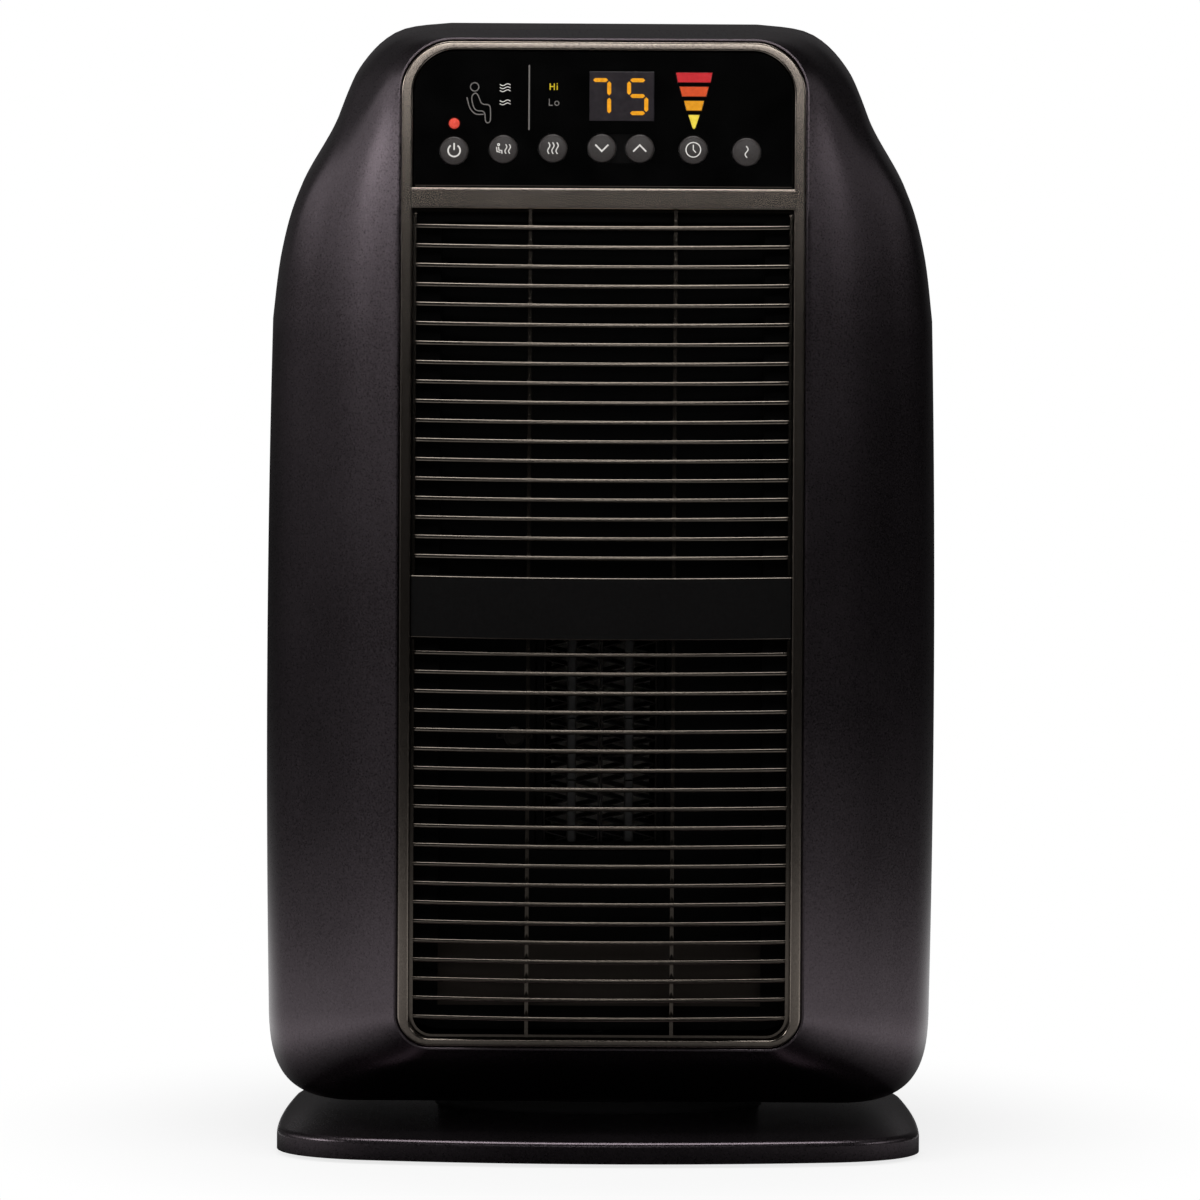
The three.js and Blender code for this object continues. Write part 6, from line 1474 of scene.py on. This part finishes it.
# %% Set the camera
target = Vector((-0.4, -45, 212.9)) * mm
elevation, distance, roll = math.radians(6.5), 8.0, math.radians(0.33)
eye = target + distance * Vector((0, -math.cos(elevation), math.sin(elevation)))
camera_data = bpy.data.cameras.new("camera")
picture_width = 0.4608
camera_data.sensor_width = 36
camera_data.lens = camera_data.sensor_width * distance / picture_width
camera_data.clip_end = 100
camera = linked("camera", camera_data)
looking = Matrix.Rotation(math.pi / 2 - elevation, 4, "X") @ Matrix.Rotation(roll, 4, "Z")
camera.matrix_world = Matrix.Translation(eye) @ looking
bpy.context.scene.camera = camera
print("camera at", [round(v, 3) for v in eye], "lens", round(camera_data.lens, 1), "mm")

# %% [markdown]
# ## Room
# The background of the photograph is pure white, so the world is white to the camera. As soft light it is a
# calm grey, and in mirrored rays it is a dark room. The floor keeps the shadow of the heater and turns
# white further out, for the camera only, so that it adds no light. A photographer's table would do the same
# with a sheet of paper; two kinds of ray are simpler to steer here.

# %% World
# Polished and coated surfaces mirror the whole studio, so in mirrored rays the world is what stood round
# the heater: near black towards the camera, a dim wall at the left and a dimmer one behind.
WHITE = (1, 1, 1, 1)
world = bpy.data.worlds.new("studio")
tree = cleared(world)
rays = add(tree, "LightPath")
way = add(tree, "TexCoord")
parts = add(tree, "SeparateXYZ", None, {0: way.outputs["Generated"]})
left_wall = {"From Min": -0.3, "From Max": -1.0, "To Min": 0.006, "To Max": 0.15}
left = add(tree, "MapRange", left_wall, {"Value": parts.outputs["X"]}, **SMOOTH)
back_wall = {"From Min": 0.6, "From Max": 1.0, "To Min": 0.002, "To Max": 0.055}
back = add(tree, "MapRange", back_wall, {"Value": parts.outputs["Y"]}, **SMOOTH)
walls = add(tree, "Math", None, {0: left, 1: back}, operation="ADD")
direct_rays = {0: rays.outputs["Is Camera Ray"], 1: rays.outputs["Is Transmission Ray"]}
seen = add(tree, "Math", None, direct_rays, operation="MAXIMUM")
white = add(tree, "Background", {"Color": WHITE, "Strength": 1.0})
mirrored = add(tree, "Background", {"Color": WHITE}, {"Strength": walls})
soft = add(tree, "Background", {"Color": WHITE, "Strength": 0.7})
lit = add(tree, "MixShader", None, {0: rays.outputs["Is Glossy Ray"], 1: soft, 2: mirrored})
room = add(tree, "MixShader", None, {0: seen, 1: lit, 2: white})
add(tree, "OutputWorld", None, {"Surface": room})
bpy.context.scene.world = world
print("the world has", len(tree.nodes), "nodes")

# %% Floor
# Seen directly, the floor turns white away from the heater. As it is mirrored in the coat, it carries a
# painted pool of light round the heater, with painted shade at its foot, right in front of it and out in the
# room.
FLOOR_HALF = 3000
corners = level_ring(-FLOOR_HALF, FLOOR_HALF, -FLOOR_HALF, FLOOR_HALF, 0)
floor = mesh_from(corners, [(0, 1, 2, 3)], "floor")
floor_paint = bpy.data.materials.new("white_matt_floor")
tree = cleared(floor_paint)
place = add(tree, "TexCoord")
grain = add(tree, "TexNoise", {"Scale": 900.0, "Detail": 3.0}, {"Vector": place.outputs["Object"]})
tone = add(tree, "ValToRGB", None, {"Fac": grain})
tone.color_ramp.elements[0].color = linear("#d3d3d3")
tone.color_ramp.elements[1].color = linear("#dcdcdc")
paint = add(tree, "BsdfDiffuse", {"Roughness": 0.6}, {"Color": tone})
glow = add(tree, "Emission", {"Color": WHITE, "Strength": 1.0})
rays = add(tree, "LightPath")
away = add(tree, "VectorMath", {1: (1, 1, 0)}, {0: place.outputs["Object"]}, operation="MULTIPLY")
reach = add(tree, "VectorMath", None, {0: away}, operation="LENGTH")
whitening = {"From Min": 0.13, "From Max": 0.27, "To Min": 0.78, "To Max": 1.0}
share = add(tree, "MapRange", whitening, {"Value": reach.outputs["Value"]}, **SMOOTH)
amount = add(tree, "Math", None, {0: share, 1: rays.outputs["Is Camera Ray"]}, operation="MULTIPLY")
direct = add(tree, "MixShader", None, {0: amount, 1: paint, 2: glow})
squashed = add(tree, "VectorMath", {1: (1, 0.7, 0)}, {0: place.outputs["Object"]}, operation="MULTIPLY")
spread = add(tree, "VectorMath", None, {0: squashed}, operation="LENGTH")
# Painted pool of light for mirrored rays: dark at the heater's foot as a painted shadow, bright round it.
painted_light_pool = add(tree, "ValToRGB", None, {"Fac": spread.outputs["Value"]})
ramp = painted_light_pool.color_ramp
ramp.elements[0].position, ramp.elements[0].color = 0.13, (0.04, 0.04, 0.04, 1)
ramp.elements[1].position, ramp.elements[1].color = 1.0, (0.015, 0.015, 0.015, 1)
for position, level in ((0.2, 0.35), (0.27, 0.95), (0.44, 0.75), (0.6, 0.25), (0.8, 0.08)):
    level_stop = ramp.elements.new(position)
    level_stop.color = (level, level, level, 1)
# Painted shade right in front of the heater: the mirrored pool is dimmed near the middle.
floor_parts = add(tree, "SeparateXYZ", None, {0: place.outputs["Object"]})
from_middle = add(tree, "Math", None, {0: floor_parts.outputs["X"]}, operation="ABSOLUTE")
front_shade_range = {"From Min": 0.03, "From Max": 0.22, "To Min": 0.3, "To Max": 1.08}
painted_front_shade = add(tree, "MapRange", front_shade_range, {"Value": from_middle}, **SMOOTH)
mirrored = add(tree, "Emission", None, {"Color": painted_light_pool, "Strength": painted_front_shade})
mixed = add(tree, "MixShader", None, {0: rays.outputs["Is Glossy Ray"], 1: direct, 2: mirrored})
add(tree, "OutputMaterial", None, {"Surface": mixed})
floor.data.materials.append(floor_paint)
print("the floor's finish has", len(tree.nodes), "nodes")

# %% [markdown]
# ## Lights
# Six lamps were placed where the bright patches of the photograph mirror. A large soft box hangs above. At
# each side stand a box, a little in front, and a wide card beside the heater: they draw the bright edges of
# shoulders, trim and blades, and the left ones are stronger. A weak box in front and above has a grid,
# which narrows its light to the heater.

# %% Soft boxes
def soft_box(name, place, aim, width, height, power, spread=180):
    """A rectangular lamp at a place, turned to a point. A grid narrows its spread, in degrees."""
    light = bpy.data.lights.new(name, "AREA")
    light.shape = "RECTANGLE"
    light.size, light.size_y, light.energy = width, height, power
    light.spread = math.radians(spread)
    lamp = linked(name, light)
    lamp.location = place
    lamp.rotation_euler = (Vector(aim) - Vector(place)).to_track_quat("-Z", "Y").to_euler()
    return lamp


BOX_POWER, CARD_POWER = {"left": 5.0, "right": 1.8}, {"left": 1.3, "right": 0.5}
shoulders, crown = (0, 0, 0.35), (0, -0.09, 0.42)
soft_box("overhead_box", (0, -0.25, 2.2), (0, -0.03, 0.22), 1.3, 0.7, 19)
for side, sign in (("left", -1), ("right", 1)):
    soft_box(f"{side}_box", (sign * 1.42, -0.66, 0.87), shoulders, 0.6, 0.4, BOX_POWER[side])
    soft_box(f"{side}_card", (sign * 1.6, 0.1, 0.85), shoulders, 1.1, 0.5, CARD_POWER[side])
soft_box("front_top_box", (0, -1.5, 0.96), crown, 1.0, 0.22, 0.19, spread=32)
bpy.context.scene.view_settings.view_transform = "Standard"
print(len(bpy.data.lights), "lamps")
